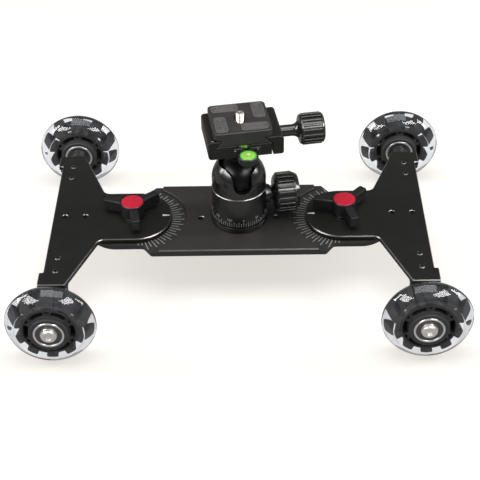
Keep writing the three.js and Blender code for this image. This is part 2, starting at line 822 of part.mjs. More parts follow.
// Camera screw, captive in the quick-release plate
function cameraScrewGeometry() {
  const bottom = channelFloor + 2 * gap;
  const top = slabTop + cameraScrewRise;
  return turned([
    [0, bottom], [cameraHeadRadius, bottom], [cameraHeadRadius, bottom + cameraHeadHeight],
    [cameraScrewRadius, bottom + cameraHeadHeight], [cameraScrewRadius, top - cameraScrewBevel],
    [cameraScrewRadius - cameraScrewBevel, top], [0, top],
  ], shaftSides).translate(channelX, cameraScrewY, 0);
}

// Level holder: a bracket on the clamp's front with a cup for the round level
function holderGeometry() {
  const width = 2 * holderHalfWidth;
  const plate = new THREE.BoxGeometry(width, holderThickness, holderHeight)
    .translate(levelX, holderBack - holderThickness / 2, holderTop - holderHeight / 2);
  const cup = rod(cupRadius, cupTop - cupHeight, cupTop, bearingSides).translate(levelX, levelY, 0);
  const behind = new THREE.BoxGeometry(width, width, width)
    .translate(levelX, holderBack + width / 2, cupTop);
  const vialRoom = rod(vialRadius + gap, cupTop - vialDepth - gap, holderTop + overrun, bearingSides)
    .translate(levelX, levelY, 0);
  return cut(join(plate, cup), behind, vialRoom);
}

function roundLevelGeometry() {
  return turned([
    [0, cupTop - vialDepth], [vialRadius, cupTop - vialDepth], [vialRadius, cupTop],
    [vialRadius * 2 / 3, cupTop + vialCrown * 2 / 3], [0, cupTop + vialCrown],
  ], bearingSides).translate(levelX, levelY, 0);
}

function tubeLevelGeometry() {
  return rod(tubeRadius, -tubeLength / 2, tubeLength / 2, shaftSides).rotateY(Math.PI / 2)
    .translate(tubeX, tubeY, tubeHeight);
}

const dolly = new THREE.Group();

// Centre plate
add(dolly, 'centre_plate', plateGeometry(), anodised);

// Arms, pivots and wheels
const sides = [
  { name: 'left', x: -1, facing: Math.PI, knobTurn: leftKnobTurn },
  { name: 'right', x: 1, facing: 0, knobTurn: rightKnobTurn },
];
const ends = [
  { name: 'front', y: -1, facing: Math.PI },
  { name: 'rear', y: 1, facing: 0 },
];
for (const side of sides) {
  const pivot = new THREE.Group();
  pivot.position.x = side.x * pivotX;
  dolly.add(pivot);
  add(pivot, `${side.name}_stud`, studGeometry(), brightSteel);
  add(pivot, `${side.name}_washer`, washerGeometry(), brightSteel);

  const arm = new THREE.Group();
  arm.rotation.z = side.facing;
  pivot.add(arm);
  add(arm, `${side.name}_arm`, armGeometry(), anodised);

  const knob = new THREE.Group();
  knob.rotation.z = THREE.MathUtils.degToRad(side.knobTurn);
  pivot.add(knob);
  add(knob, `${side.name}_knob`, knobGeometry(), knobPlastic);
  add(knob, `${side.name}_knob_cap`, capGeometry(), capRed);

  for (const end of ends) {
    const corner = `${end.name}_${side.name}`;
    const bracket = new THREE.Group();
    bracket.position.x = side.x * wheelX;
    bracket.rotation.z = end.facing;
    dolly.add(bracket);
    add(bracket, `${corner}_bracket`, bracketGeometry(), bracketBlack);

    const wheel = new THREE.Group();
    wheel.position.set(side.x * wheelX, end.y * wheelY, axleHeight);
    wheel.rotation.x = -end.y * Math.PI / 2;
    dolly.add(wheel);
    add(wheel, `${corner}_tyre`, tyreGeometry(), tyreClear);
    add(wheel, `${corner}_hub`, hubGeometry(), hubPlastic);
    add(wheel, `${corner}_outer_bearing`, bearingGeometry(), bearingSteel);
    add(wheel, `${corner}_inner_bearing`, bearingGeometry().rotateX(Math.PI), bearingSteel);
    add(wheel, `${corner}_race_sleeve`, sleeveGeometry(), bearingSteel);
    add(wheel, `${corner}_axle_bolt`, axleBoltGeometry(), brightSteel);
  }
}

// Ball head
const head = new THREE.Group();
head.position.x = headX;
head.rotation.z = THREE.MathUtils.degToRad(headTurn);
dolly.add(head);
add(head, 'mounting_screw', mountScrewGeometry(), brightSteel);
add(head, 'pan_base', baseGeometry(), anodised);
add(head, 'ball_housing', housingGeometry(), anodised);
add(head, 'lock_knob', lockKnobGeometry(), anodised);
add(head, 'ball', ballGeometry(), ballChrome);
add(head, 'ball_stem', stemGeometry(), ballChrome);

// Clamp and levels
add(head, 'clamp_body', clampBodyGeometry(), anodised);
add(head, 'clamp_jaw', jawGeometry(), anodised);
add(head, 'clamp_knob', clampKnobGeometry(), anodised);
add(head, 'level_holder', holderGeometry(), knobPlastic);
add(head, 'round_level', roundLevelGeometry(), levelGreen);
add(head, 'tube_level', tubeLevelGeometry(), levelGreen);

// Quick-release plate
add(head, 'quick_release_plate', releasePlateGeometry(), anodised);
for (const [name, points] of Object.entries(padOutlines(0))) {
  add(head, name, padGeometry(points), gripRubber);
}
add(head, 'camera_screw', cameraScrewGeometry(), screwBrass);

export default dolly;
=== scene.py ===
import math

import bmesh
import bpy
from bpy.props import FloatProperty, FloatVectorProperty, IntProperty, PointerProperty
from mathutils import Matrix, Vector


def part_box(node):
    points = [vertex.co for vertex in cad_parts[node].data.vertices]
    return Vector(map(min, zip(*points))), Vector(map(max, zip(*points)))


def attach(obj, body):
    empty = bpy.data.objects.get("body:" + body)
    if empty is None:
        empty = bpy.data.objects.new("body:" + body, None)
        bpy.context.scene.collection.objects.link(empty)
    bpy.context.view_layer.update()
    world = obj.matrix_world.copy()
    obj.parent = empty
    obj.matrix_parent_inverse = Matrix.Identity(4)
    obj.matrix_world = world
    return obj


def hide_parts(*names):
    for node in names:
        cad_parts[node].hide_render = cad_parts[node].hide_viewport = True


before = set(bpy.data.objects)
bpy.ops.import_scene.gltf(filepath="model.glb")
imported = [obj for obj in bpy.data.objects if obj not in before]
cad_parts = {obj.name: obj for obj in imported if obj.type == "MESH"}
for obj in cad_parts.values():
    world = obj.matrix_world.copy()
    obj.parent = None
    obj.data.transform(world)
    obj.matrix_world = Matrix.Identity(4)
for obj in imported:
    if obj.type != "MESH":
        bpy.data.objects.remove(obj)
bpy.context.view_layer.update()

bl_info = {
    "name": "Camera dolly",
    "version": (1, 0, 0),
    "blender": (4, 5, 0),
    "location": "3D View > Sidebar > Dolly",
    "description": "Dresses a table-top camera dolly and sets it in a plain white studio",
    "category": "Object",
}

# Shapes are worked out in millimetres, and finish_piece makes them metres.
MM = 0.001
SIDES = {"left": -1, "right": 1}
ENDS = {"front": -1, "rear": 1}
CORNERS = [(end, side) for end in ENDS for side in SIDES]

# Where the solids are that the pieces fit, in millimetres and degrees
PIVOT_X = 79
PLATE_BOTTOM, RECESS_FLOOR, PLATE_TOP = 36, 40, 42
PLATE_HALF, SHOULDER_X = 40, 64
NECK_HALF, NECK_X = 31.3, 70
ARM_BOTTOM, ARM_TOP = 40.3, 44
ARM_HALF_LENGTH = 79
ARM_SCREWS_Y = (-64, -49.3, 49.3, 64)
AXLE_FROM_PIVOT = 51.5
AXLE_HEIGHT = 32
HEAD_X, HEAD_TURN = 0.8, 9
LOCK_HEIGHT = 60.8
BALL_HEIGHT = 80
HOUSING_RADIUS = 20.3
CLAMP_HALF = 19.5
SCREW_HEIGHT = 115
CHANNEL_X = 1.4
LIP_HALF, LIP_TOP = 15.8, 124
CUP_X, CUP_Y = 3.3, -25.9

# The camera, from a fit to the photograph: focal length in pixels of a picture 480 wide,
# place in millimetres, and the directions of view and of the picture's top
FOCAL_PIXELS, PICTURE_WIDTH = 1270.5, 480
CAMERA_PLACE = (10.16, -757.71, 624.68)
CAMERA_AHEAD = (-0.00975, 0.78115, -0.62426)
CAMERA_UP = (0.01331, 0.62434, 0.78104)
SENSOR_WIDTH = 36.0


# Places


def middle(node):
    """The middle of a solid's box, in millimetres."""
    low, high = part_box(node)
    return (Vector(low) + Vector(high)) / 2 / MM


def turn(degrees, axis="Z"):
    return Matrix.Rotation(math.radians(degrees), 4, axis)


def shift(x=0.0, y=0.0, z=0.0):
    return Matrix.Translation((x, y, z))


def wheel_place(end, side):
    """From a wheel's own frame, with its outer face upward, to its corner of the dolly."""
    return Matrix.Translation(middle(f"{end}_{side}_tyre")) @ turn(-90 * ENDS[end], "X")


def arm_place(side):
    """From the pivot's frame, outward along +X, to a side of the dolly."""
    return shift(SIDES[side] * PIVOT_X) @ turn(0 if side == "right" else 180)


def head_place():
    return shift(HEAD_X) @ turn(HEAD_TURN)


# Outlines


def polar(radius, degrees):
    angle = math.radians(degrees)
    return Vector((radius * math.cos(angle), radius * math.sin(angle)))


def circle(radius, sides, x=0.0, y=0.0):
    return [Vector((x, y)) + polar(radius, 360 * k / sides) for k in range(sides)]


def rounded(corners, closed=True, widest=8):
    """Corners (x, y, radius) joined by straight lines, each rounded where it has a radius."""
    points = []
    count = len(corners)
    for i, corner in enumerate(corners):
        here = Vector(corner[:2])
        radius = corner[2] if len(corner) > 2 else 0
        if not radius or (not closed and i in (0, count - 1)):
            points.append(here)
            continue
        back = Vector(corners[i - 1][:2]) - here
        ahead = Vector(corners[(i + 1) % count][:2]) - here
        a, b = back.normalized(), ahead.normalized()
        half = math.acos(max(-1, min(1, a.dot(b)))) / 2
        if half > math.pi / 2 - 0.01:
            points.append(here)
            continue
        reach = min(radius / math.tan(half), back.length / 2, ahead.length / 2)
        radius = reach * math.tan(half)
        centre = here + (a + b).normalized() * radius / math.sin(half)
        start = here + a * reach - centre
        total = (math.pi - 2 * half) * math.copysign(1, b.x * a.y - b.y * a.x)
        steps = max(3, math.ceil(math.degrees(abs(total)) / widest)) if radius > 1.5 else 3
        for k in range(steps + 1):
            angle = total * k / steps
            cos, sin = math.cos(angle), math.sin(angle)
            points.append(centre + Vector((start.x * cos - start.y * sin,
                                           start.x * sin + start.y * cos)))
    kept = [p for p, q in zip(points, points[1:] + points[:1]) if (p - q).length > 1e-4]
    return kept if closed else kept + ([points[-1]] if kept[-1] != points[-1] else [])


def rectangle(half_x, half_y, radius, x=0.0, y=0.0):
    return rounded([
        (x + half_x, y - half_y, radius), (x + half_x, y + half_y, radius),
        (x - half_x, y + half_y, radius), (x - half_x, y - half_y, radius),
    ])


def grow(points, by):
    """An anticlockwise outline moved outward by the same distance all round."""
    if not by:
        return points
    moved = []
    for i, p in enumerate(points):
        a = (p - points[i - 1]).normalized()
        b = (points[(i + 1) % len(points)] - p).normalized()
        side = Vector((a.y, -a.x))
        bisector = (side + Vector((b.y, -b.x))).normalized()
        moved.append(p + bisector * by / max(0.3, bisector.dot(side)))
    return moved


def anticlockwise(points):
    """The same outline, reversed if it runs clockwise."""
    area = sum(p.x * q.y - q.x * p.y for p, q in zip(points, points[1:] + points[:1]))
    return points if area > 0 else points[::-1]


def arc(radius, height, start, end, steps):
    """Profile points of an arc centred on the axis at a height, angles above the horizontal."""
    points = [polar(radius, start + (end - start) * k / steps) for k in range(steps + 1)]
    return [(max(0.0, p.x), height + p.y) for p in points]


# Meshes


def slab(outline, levels, holes=(), edge=1):
    """A solid on an outline. Levels are (growth, height) pairs from the bottom up.

    Holes are (outline, levels) pairs. Slanted sides get the material with the index edge.
    """
    bm = bmesh.new()
    floors, roofs = [], []
    for points, steps in [(outline, levels), *holes]:
        rings = [[bm.verts.new((*p, height)) for p in grow(points, by)] for by, height in steps]
        for k, (low, high) in enumerate(zip(rings, rings[1:])):
            slanted = abs(steps[k][0] - steps[k + 1][0]) > 1e-6
            for i in range(len(low)):
                face = bm.faces.new((low[i - 1], low[i], high[i], high[i - 1]))
                face.material_index = edge if slanted else 0
        floors.append(rings[0])
        roofs.append(rings[-1])
    for rings in (floors, roofs):
        edges = [bm.edges.get((ring[i - 1], ring[i])) for ring in rings for i in range(len(ring))]
        bmesh.ops.triangle_fill(bm, edges=edges, use_beauty=True)
    bmesh.ops.recalc_face_normals(bm, faces=bm.faces)
    return bm


def block(x0, x1, y0, y1, z0, z1):
    """A box between two corners."""
    outline = rectangle((x1 - x0) / 2, (y1 - y0) / 2, 0, (x0 + x1) / 2, (y0 + y1) / 2)
    return slab(outline, [(0, z0), (0, z1)])


def lathe(profile, sides, ring=False):
    """A solid turned about Z from (radius, height, rounding) points; a ring closes on itself.

    Its map "turn" runs round the piece and along the profile, for turning marks.
    """
    points = rounded(profile, closed=ring, widest=15)
    bm = bmesh.new()
    marks = bm.loops.layers.uv.new("turn")
    lines = []
    length = 0.0
    for i, p in enumerate(points):
        if i:
            length += (p - points[i - 1]).length
        if p.x < 1e-5:
            lines.append(([bm.verts.new((0, 0, p.y))], length))
        else:
            lines.append(([bm.verts.new((*q, p.y)) for q in circle(p.x, sides)], length))
    pairs = list(zip(lines, lines[1:])) + ([(lines[-1], lines[0])] if ring else [])
    for low, high in pairs:
        for k in range(sides):
            corners = []
            for line, place in ((low, k), (low, k + 1), (high, k + 1), (high, k)):
                vert = line[0][place % len(line[0])]
                if all(vert is not other for other, _ in corners):
                    corners.append((vert, (place / sides, line[1])))
            if len(corners) < 3:
                continue
            face = bm.faces.new([vert for vert, _ in corners])
            for loop, (_, mark) in zip(face.loops, corners):
                loop[marks].uv = mark
    bmesh.ops.recalc_face_normals(bm, faces=bm.faces)
    return bm


def placed(bm, *places):
    """The mesh moved by the last place first, as the product of the places would move it."""
    for place in reversed(places):
        bm.transform(place)
    return bm


def merged(*meshes):
    """Several meshes side by side in one."""
    whole = meshes[0]
    for other in meshes[1:]:
        mesh = bpy.data.meshes.new("part")
        other.to_mesh(mesh)
        other.free()
        whole.from_mesh(mesh)
        bpy.data.meshes.remove(mesh)
    return whole


def loose_object(bm, name):
    """A helper object that takes over a mesh, with room for three materials."""
    mesh = bpy.data.meshes.new(name)
    bm.to_mesh(mesh)
    bm.free()
    for _ in range(3):
        mesh.materials.append(None)
    obj = bpy.data.objects.new(name, mesh)
    bpy.context.scene.collection.objects.link(obj)
    return obj


def evaluated(obj):
    """An object's mesh with its modifiers applied."""
    bpy.context.view_layer.update()
    depsgraph = bpy.context.evaluated_depsgraph_get()
    return bpy.data.meshes.new_from_object(
        obj.evaluated_get(depsgraph), preserve_all_data_layers=True, depsgraph=depsgraph)


def discard(*objects):
    for obj in objects:
        mesh = obj.data
        bpy.data.objects.remove(obj)
        bpy.data.meshes.remove(mesh)


def carved(whole, *tools, operation="DIFFERENCE"):
    """A mesh less the tools, or joined with them, as one closed mesh."""
    target = loose_object(whole, "whole")
    others = [loose_object(tool, "tool") for tool in tools]
    for other in others:
        modifier = target.modifiers.new("carve", "BOOLEAN")
        modifier.operation = operation
        modifier.solver = "EXACT"
        modifier.object = other
    mesh = evaluated(target)
    result = bmesh.new()
    result.from_mesh(mesh)
    bpy.data.meshes.remove(mesh)
    discard(target, *others)
    bmesh.ops.remove_doubles(result, verts=result.verts, dist=1e-4)
    bmesh.ops.dissolve_limit(
        result, angle_limit=math.radians(0.3), verts=result.verts, edges=result.edges,
        delimit={"MATERIAL"})
    if not result.faces:
        raise RuntimeError("a cut left nothing of a piece")
    return result


def joined(*parts):
    return carved(*parts, operation="UNION")


def softened(bm, width, steeper, where):
    """Rounds the edges that are steeper than an angle, where their middle passes a test."""
    edges = [
        e for e in bm.edges
        if len(e.link_faces) == 2 and e.calc_face_angle(0) > math.radians(steeper)
        and where((e.verts[0].co + e.verts[1].co) / 2)
    ]
    bmesh.ops.bevel(
        bm, geom=edges, offset=width, offset_type="OFFSET", segments=2, profile=0.5,
        affect="EDGES", clamp_overlap=True, material=-1)
    return bm


def painted(bm, test, index):
    """Gives a material index to the faces whose middle passes a test."""
    for face in bm.faces:
        if test(face.calc_center_median()):
            face.material_index = index
    return bm


def finish_piece(name, bm, materials, body, replaces=(), sharp=38):
    """Makes one shaded object of a mesh in millimetres and seats it on its body."""
    bm.transform(Matrix.Scale(MM, 4))
    mesh = bpy.data.meshes.new(name)
    bm.to_mesh(mesh)
    bm.free()
    for material in materials:
        mesh.materials.append(material)
    mesh.shade_smooth()
    mesh.set_sharp_from_angle(angle=math.radians(sharp))
    obj = bpy.data.objects.new(name, mesh)
    bpy.context.scene.collection.objects.link(obj)
    weigh = obj.modifiers.new("flat faces", "WEIGHTED_NORMAL")
    weigh.keep_sharp = True
    weigh.weight = 80
    plain = evaluated(obj)
    obj.modifiers.clear()
    obj.data = plain
    bpy.data.meshes.remove(mesh)
    plain.name = name
    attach(obj, body)
    if replaces:
        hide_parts(*replaces)
    return obj


# Node trees for what repeats


def new_tree(name, sockets):
    """A tree with named inputs in a fixed order and a mesh as its output."""
    tree = bpy.data.node_groups.new(name, "GeometryNodeTree")
    for label, kind, value in sockets:
        socket = tree.interface.new_socket(label, in_out="INPUT", socket_type=f"NodeSocket{kind}")
        if value is not None:
            socket.default_value = value
    tree.interface.new_socket("Geometry", in_out="OUTPUT", socket_type="NodeSocketGeometry")
    return tree, tree.nodes.new("NodeGroupInput"), tree.nodes.new("NodeGroupOutput")


def maths(tree, operation, *inputs):
    node = tree.nodes.new("ShaderNodeMath")
    node.operation = operation
    for socket, value in zip(node.inputs, inputs):
        if isinstance(value, (int, float)):
            socket.default_value = value
        else:
            tree.links.new(value, socket)
    return node.outputs[0]


def vector(tree, *inputs):
    node = tree.nodes.new("ShaderNodeCombineXYZ")
    for socket, value in zip(node.inputs, inputs):
        if isinstance(value, (int, float)):
            socket.default_value = value
        else:
            tree.links.new(value, socket)
    return node.outputs[0]


def close_tree(tree, geometry, inputs, output):
    """Ends a tree in realised instances of one material."""
    real = tree.nodes.new("GeometryNodeRealizeInstances")
    dress = tree.nodes.new("GeometryNodeSetMaterial")
    tree.links.new(geometry, real.inputs[0])
    tree.links.new(real.outputs[0], dress.inputs["Geometry"])
    tree.links.new(inputs.outputs["Material"], dress.inputs["Material"])
    tree.links.new(dress.outputs[0], output.inputs["Geometry"])


def scale_tree():
    """Blocks round a circle, every second, third or later one longer, as on a dial."""
    tree, given, output = new_tree("scale_tree", [
        ("Count", "Int", 33), ("Start", "Float", 0.0), ("Step", "Float", 0.1),
        ("Radius", "Float", 30.0), ("Height", "Float", 0.0), ("Width", "Float", 0.8),
        ("Thickness", "Float", 0.1), ("Length", "Float", 6.0), ("Long Length", "Float", 9.0),
        ("Long Every", "Int", 2), ("Outward", "Float", 1.0), ("Upward", "Float", 0.0),
        ("Material", "Material", None),
    ])
    links = tree.links
    line = tree.nodes.new("GeometryNodeMeshLine")
    links.new(given.outputs["Count"], line.inputs["Count"])
    index = tree.nodes.new("GeometryNodeInputIndex").outputs[0]
    angle = maths(tree, "MULTIPLY_ADD", index, given.outputs["Step"], given.outputs["Start"])
    turns = maths(tree, "MODULO", index, given.outputs["Long Every"])
    is_long = maths(tree, "LESS_THAN", turns, 0.5)
    extra = maths(tree, "SUBTRACT", given.outputs["Long Length"], given.outputs["Length"])
    length = maths(tree, "MULTIPLY_ADD", is_long, extra, given.outputs["Length"])
    out = maths(tree, "MULTIPLY", length, given.outputs["Outward"])
    up = maths(tree, "MULTIPLY", length, given.outputs["Upward"])
    radius = maths(tree, "MULTIPLY_ADD", out, 0.5, given.outputs["Radius"])
    height = maths(tree, "MULTIPLY_ADD", up, 0.5, given.outputs["Height"])
    place = vector(tree, maths(tree, "MULTIPLY", radius, maths(tree, "COSINE", angle)),
                   maths(tree, "MULTIPLY", radius, maths(tree, "SINE", angle)), height)
    move = tree.nodes.new("GeometryNodeSetPosition")
    links.new(line.outputs[0], move.inputs["Geometry"])
    links.new(place, move.inputs["Position"])
    cube = tree.nodes.new("GeometryNodeMeshCube")
    copy = tree.nodes.new("GeometryNodeInstanceOnPoints")
    links.new(move.outputs[0], copy.inputs["Points"])
    links.new(cube.outputs[0], copy.inputs["Instance"])
    links.new(vector(tree, 0.0, 0.0, angle), copy.inputs["Rotation"])
    thick = given.outputs["Thickness"]
    deep = maths(tree, "ADD", out, maths(tree, "MULTIPLY", thick, given.outputs["Upward"]))
    tall = maths(tree, "ADD", up, maths(tree, "MULTIPLY", thick, given.outputs["Outward"]))
    links.new(vector(tree, deep, given.outputs["Width"], tall), copy.inputs["Scale"])
    close_tree(tree, copy.outputs[0], given, output)
    return tree


def round_tree():
    """Copies of one object turned round the upright axis, as ribs round a grip."""
    tree, given, output = new_tree("round_tree", [
        ("Count", "Int", 20), ("Start", "Float", 0.0), ("Copied", "Object", None),
        ("Material", "Material", None),
    ])
    links = tree.links
    line = tree.nodes.new("GeometryNodeMeshLine")
    line.inputs["Offset"].default_value = (0, 0, 0)
    links.new(given.outputs["Count"], line.inputs["Count"])
    index = tree.nodes.new("GeometryNodeInputIndex").outputs[0]
    step = maths(tree, "DIVIDE", 2 * math.pi, given.outputs["Count"])
    angle = maths(tree, "MULTIPLY_ADD", index, step, given.outputs["Start"])
    source = tree.nodes.new("GeometryNodeObjectInfo")
    source.inputs["As Instance"].default_value = True
    links.new(given.outputs["Copied"], source.inputs["Object"])
    copy = tree.nodes.new("GeometryNodeInstanceOnPoints")
    links.new(line.outputs[0], copy.inputs["Points"])
    links.new(source.outputs["Geometry"], copy.inputs["Instance"])
    links.new(vector(tree, 0.0, 0.0, angle), copy.inputs["Rotation"])
    close_tree(tree, copy.outputs[0], given, output)
    return tree


def places_tree():
    """Copies of one object at the points of a mesh, as screws along a bar."""
    tree, given, output = new_tree("places_tree", [
        ("Geometry", "Geometry", None), ("Copied", "Object", None),
        ("Material", "Material", None),
    ])
    links = tree.links
    source = tree.nodes.new("GeometryNodeObjectInfo")
    source.inputs["As Instance"].default_value = True
    links.new(given.outputs["Copied"], source.inputs["Object"])
    copy = tree.nodes.new("GeometryNodeInstanceOnPoints")
    links.new(given.outputs["Geometry"], copy.inputs["Points"])
    links.new(source.outputs["Geometry"], copy.inputs["Instance"])
    close_tree(tree, copy.outputs[0], given, output)
    return tree


def from_tree(maker, points=(), **values):
    """What a tree makes, as a mesh to go on with. Words in an input's name are joined by _.

    A tree has the name of its maker, and is made once.
    """
    tree = bpy.data.node_groups.get(maker.__name__) or maker()
    mesh = bpy.data.meshes.new("places")
    mesh.from_pydata([tuple(p) for p in points], [], [])
    host = bpy.data.objects.new("host", mesh)
    bpy.context.scene.collection.objects.link(host)
    modifier = host.modifiers.new("tree", "NODES")
    modifier.node_group = tree
    for socket in tree.interface.items_tree:
        key = socket.name.replace(" ", "_").lower()
        if socket.in_out == "INPUT" and key in values:
            modifier[socket.identifier] = values[key]
    made = evaluated(host)
    bm = bmesh.new()
    bm.from_mesh(made)
    bpy.data.meshes.remove(made)
    discard(host)
    if not bm.faces:
        raise RuntimeError(f"{maker.__name__} made nothing")
    return bm


def copies_round(template, count, start):
    """A template's mesh repeated round the upright axis from a first angle in degrees."""
    obj = loose_object(template, "template")
    bm = from_tree(round_tree, count=count, start=math.radians(start), copied=obj)
    discard(obj)
    return bm


def copies_at(template, points):
    """A template's mesh repeated at each of the points."""
    obj = loose_object(template, "template")
    bm = from_tree(places_tree, points=points, copied=obj)
    discard(obj)
    return bm


# Finishes


def surface(name, colour, roughness, metallic=0.0, *, grain, cloud, spread=0.05,
            turned=False, **constants):
    """A finish with fine grain in its bump and slow clouds in its colour and roughness.

    Grain and cloud are (size in millimetres, strength). Turned pieces get rings from their own
    map instead of grain. Spread is how far the roughness strays from its middle. Constants are
    set on the shader itself.
    """
    found = bpy.data.materials.get(name)
    if found:
        return found
    material = bpy.data.materials.new(name)
    material.use_nodes = True
    tree = material.node_tree
    nodes, links = tree.nodes, tree.links
    shader = nodes["Principled BSDF"]
    shader.inputs["Metallic"].default_value = metallic
    for key, value in constants.items():
        shader.inputs[key.replace("_", " ")].default_value = value
    place = nodes.new("ShaderNodeTexCoord").outputs["Object"]

    def noise(size, detail, source=None):
        node = nodes.new("ShaderNodeTexNoise")
        node.inputs["Scale"].default_value = 1 / (size * MM) if source is None else 1.0
        node.inputs["Detail"].default_value = detail
        links.new(place if source is None else source, node.inputs["Vector"])
        return node.outputs["Fac"]

    slow = noise(cloud[0], 3)
    paint = nodes.new("ShaderNodeMix")
    paint.data_type = "RGBA"
    paint.inputs["A"].default_value = (*[c * (1 - cloud[1]) for c in colour], 1)
    paint.inputs["B"].default_value = (*[min(1, c * (1 + cloud[1])) for c in colour], 1)
    links.new(slow, paint.inputs["Factor"])
    links.new(paint.outputs["Result"], shader.inputs["Base Color"])

    if turned:
        rings = nodes.new("ShaderNodeMapping")
        rings.inputs["Scale"].default_value = (3, 1 / grain[0], 1)
        own = nodes.new("ShaderNodeUVMap")
        own.uv_map = "turn"
        links.new(own.outputs[0], rings.inputs["Vector"])
        fine = noise(1, 2, rings.outputs[0])
    else:
        fine = noise(grain[0], 2)
    rough = nodes.new("ShaderNodeMapRange")
    rough.inputs["To Min"].default_value = max(0.02, roughness - spread)
    rough.inputs["To Max"].default_value = min(1, roughness + spread)
    links.new(maths(tree, "MULTIPLY_ADD", fine, 0.5, maths(tree, "MULTIPLY", slow, 0.5)),
              rough.inputs["Value"])
    links.new(rough.outputs["Result"], shader.inputs["Roughness"])
    bump = nodes.new("ShaderNodeBump")
    bump.inputs["Strength"].default_value = grain[1]
    bump.inputs["Distance"].default_value = 0.1 * MM
    links.new(fine, bump.inputs["Height"])
    links.new(bump.outputs[0], shader.inputs["Normal"])
    return material


def finishes():
    return bpy.context.scene.dolly_finishes


def anodised():
    """Satin black anodising over blasted aluminium."""
    return surface("satin_black_anodising", finishes().plate, 0.44, grain=(0.25, 0.14),
                   cloud=(14, 0.18), spread=0.06, Specular_IOR_Level=0.3)


def arm_black():
    """The arms' anodising, deeper than the plate's."""
    return surface("deep_black_anodising", finishes().arm, 0.4, grain=(0.25, 0.12), cloud=(14, 0.2),
                   spread=0.06, Specular_IOR_Level=0.2)


def bright_edge():
    """A chamfer cut after blasting, smoother than the faces beside it, with its colour made lighter
    as a painted highlight along the edge.
    """
    return surface("cut_black_edge", finishes().edge, 0.3, 0.85, grain=(0.5, 0.05),
                   cloud=(6, 0.2), spread=0.05)


def turned_black():
    """Black anodising over turned aluminium, with faint rings."""
    return surface("turned_black_anodising", finishes().head, 0.22, grain=(0.22, 0.03),
                   cloud=(12, 0.12), spread=0.03, turned=True, Specular_IOR_Level=0.8)


def grip_black():
    return surface("fluted_black_anodising", finishes().grip, 0.16, 0.7, grain=(0.25, 0.05),
                   cloud=(7, 0.15), spread=0.04)


def clamp_black():
    return surface("clamp_black_anodising", finishes().clamp, 0.42, grain=(0.22, 0.16),
                   cloud=(10, 0.15), spread=0.06, Specular_IOR_Level=0.25)


def slab_black():
    return surface("release_black_anodising", finishes().slab, 0.5, grain=(0.22, 0.18),
                   cloud=(10, 0.15), spread=0.06, Specular_IOR_Level=0.3)


def slab_edge():
    """The top edge of the release plate, its colour made lighter as a painted highlight."""
    return surface("worn_black_edge", finishes().worn, 0.35, 0.5, grain=(0.5, 0.1), cloud=(5, 0.3),
                   spread=0.06)


def moulded_black():
    return surface("moulded_black", finishes().moulded, 0.42, grain=(0.4, 0.12), cloud=(8, 0.15),
                   spread=0.06)


def hub_black():
    return surface("hub_black", finishes().hub, 0.36, grain=(0.5, 0.08), cloud=(7, 0.2),
                   spread=0.06)


def cap_red():
    return surface("cap_red", finishes().cap, 0.16, grain=(1.2, 0.03), cloud=(6, 0.06), spread=0.04,
                   Coat_Weight=0.5, Coat_Roughness=0.05)


def bright_steel():
    return surface("ground_steel", finishes().steel, 0.32, 0.9, grain=(0.18, 0.12), cloud=(5, 0.08),
                   spread=0.06, turned=True)


def plated_steel():
    return surface("plated_steel", finishes().plated, 0.36, 0.85, grain=(0.5, 0.06), cloud=(3, 0.1),
                   spread=0.06)


def shield_steel():
    return surface("bearing_shield", finishes().shield, 0.38, 0.7, grain=(0.2, 0.12),
                   cloud=(4, 0.12), spread=0.05, turned=True)


def ball_black():
    return surface("ball_black", finishes().ball, 0.3, grain=(1.0, 0.02), cloud=(9, 0.1),
                   spread=0.04, Specular_IOR_Level=0.2)


def pad_rubber():
    return surface("grip_pad_rubber", finishes().pad, 0.7, grain=(0.3, 0.3), cloud=(4, 0.12),
                   spread=0.08)


def warm_nickel():
    return surface("warm_nickel", finishes().screw, 0.34, 0.9, grain=(0.4, 0.08), cloud=(2, 0.2),
                   spread=0.05)


def print_white():
    return surface("printed_white", finishes().marks, 0.55, grain=(0.2, 0.1), cloud=(2, 0.08),
                   spread=0.05)


def pointer_white():
    return surface("pointer_white", (0.85, 0.85, 0.83), 0.5, grain=(0.2, 0.1), cloud=(2, 0.06),
                   spread=0.05)


def dark_steel():
    """Blackened screws with a slight shine."""
    return surface("blackened_steel", finishes().dark_steel, 0.3, 0.8, grain=(0.4, 0.1),
                   cloud=(2, 0.25), spread=0.08)


# Painted glow: the liquid gives off a faint light in its own colour.
def vial_green():
    return surface("vial_green", finishes().vial, 0.2, grain=(1.2, 0.05), cloud=(0.9, 0.4),
                   spread=0.05, Coat_Weight=0.6, Coat_Roughness=0.08, Emission_Strength=0.06,
                   Emission_Color=(*finishes().vial, 1))


def vial_rim():
    return surface("vial_rim_green", finishes().vial_rim, 0.2, grain=(1.5, 0.03), cloud=(3, 0.1),
                   spread=0.04, Coat_Weight=0.4)


def vial_bubble():
    return surface("vial_bubble", finishes().bubble, 0.1, grain=(1.5, 0.02), cloud=(2, 0.05),
                   spread=0.03, Coat_Weight=0.6)


def clear_urethane():
    """Clear cast urethane with a smoky tint through its depth."""
    name = "clear_urethane"
    found = bpy.data.materials.get(name)
    if found:
        return found
    material = surface(name, (0.96, 0.97, 0.985), 0.06, grain=(9, 0.006), cloud=(18, 0.02),
                       spread=0.02, IOR=1.5, Transmission_Weight=1.0)
    tree = material.node_tree
    depth = tree.nodes.new("ShaderNodeVolumeAbsorption")
    depth.inputs["Color"].default_value = (*finishes().tyre, 1)
    depth.inputs["Density"].default_value = finishes().tyre_depth
    tree.links.new(depth.outputs[0], tree.nodes["Material Output"].inputs["Volume"])
    return material


# Sizes and colours that may be changed


def length(name, description, default, low=0.0):
    return FloatProperty(name=name, description=description, default=default, min=low,
                         unit="LENGTH")


def colour(name, description, default):
    return FloatVectorProperty(name=name, description=description, default=default, size=3,
                               min=0.0, max=1.0, subtype="COLOR")


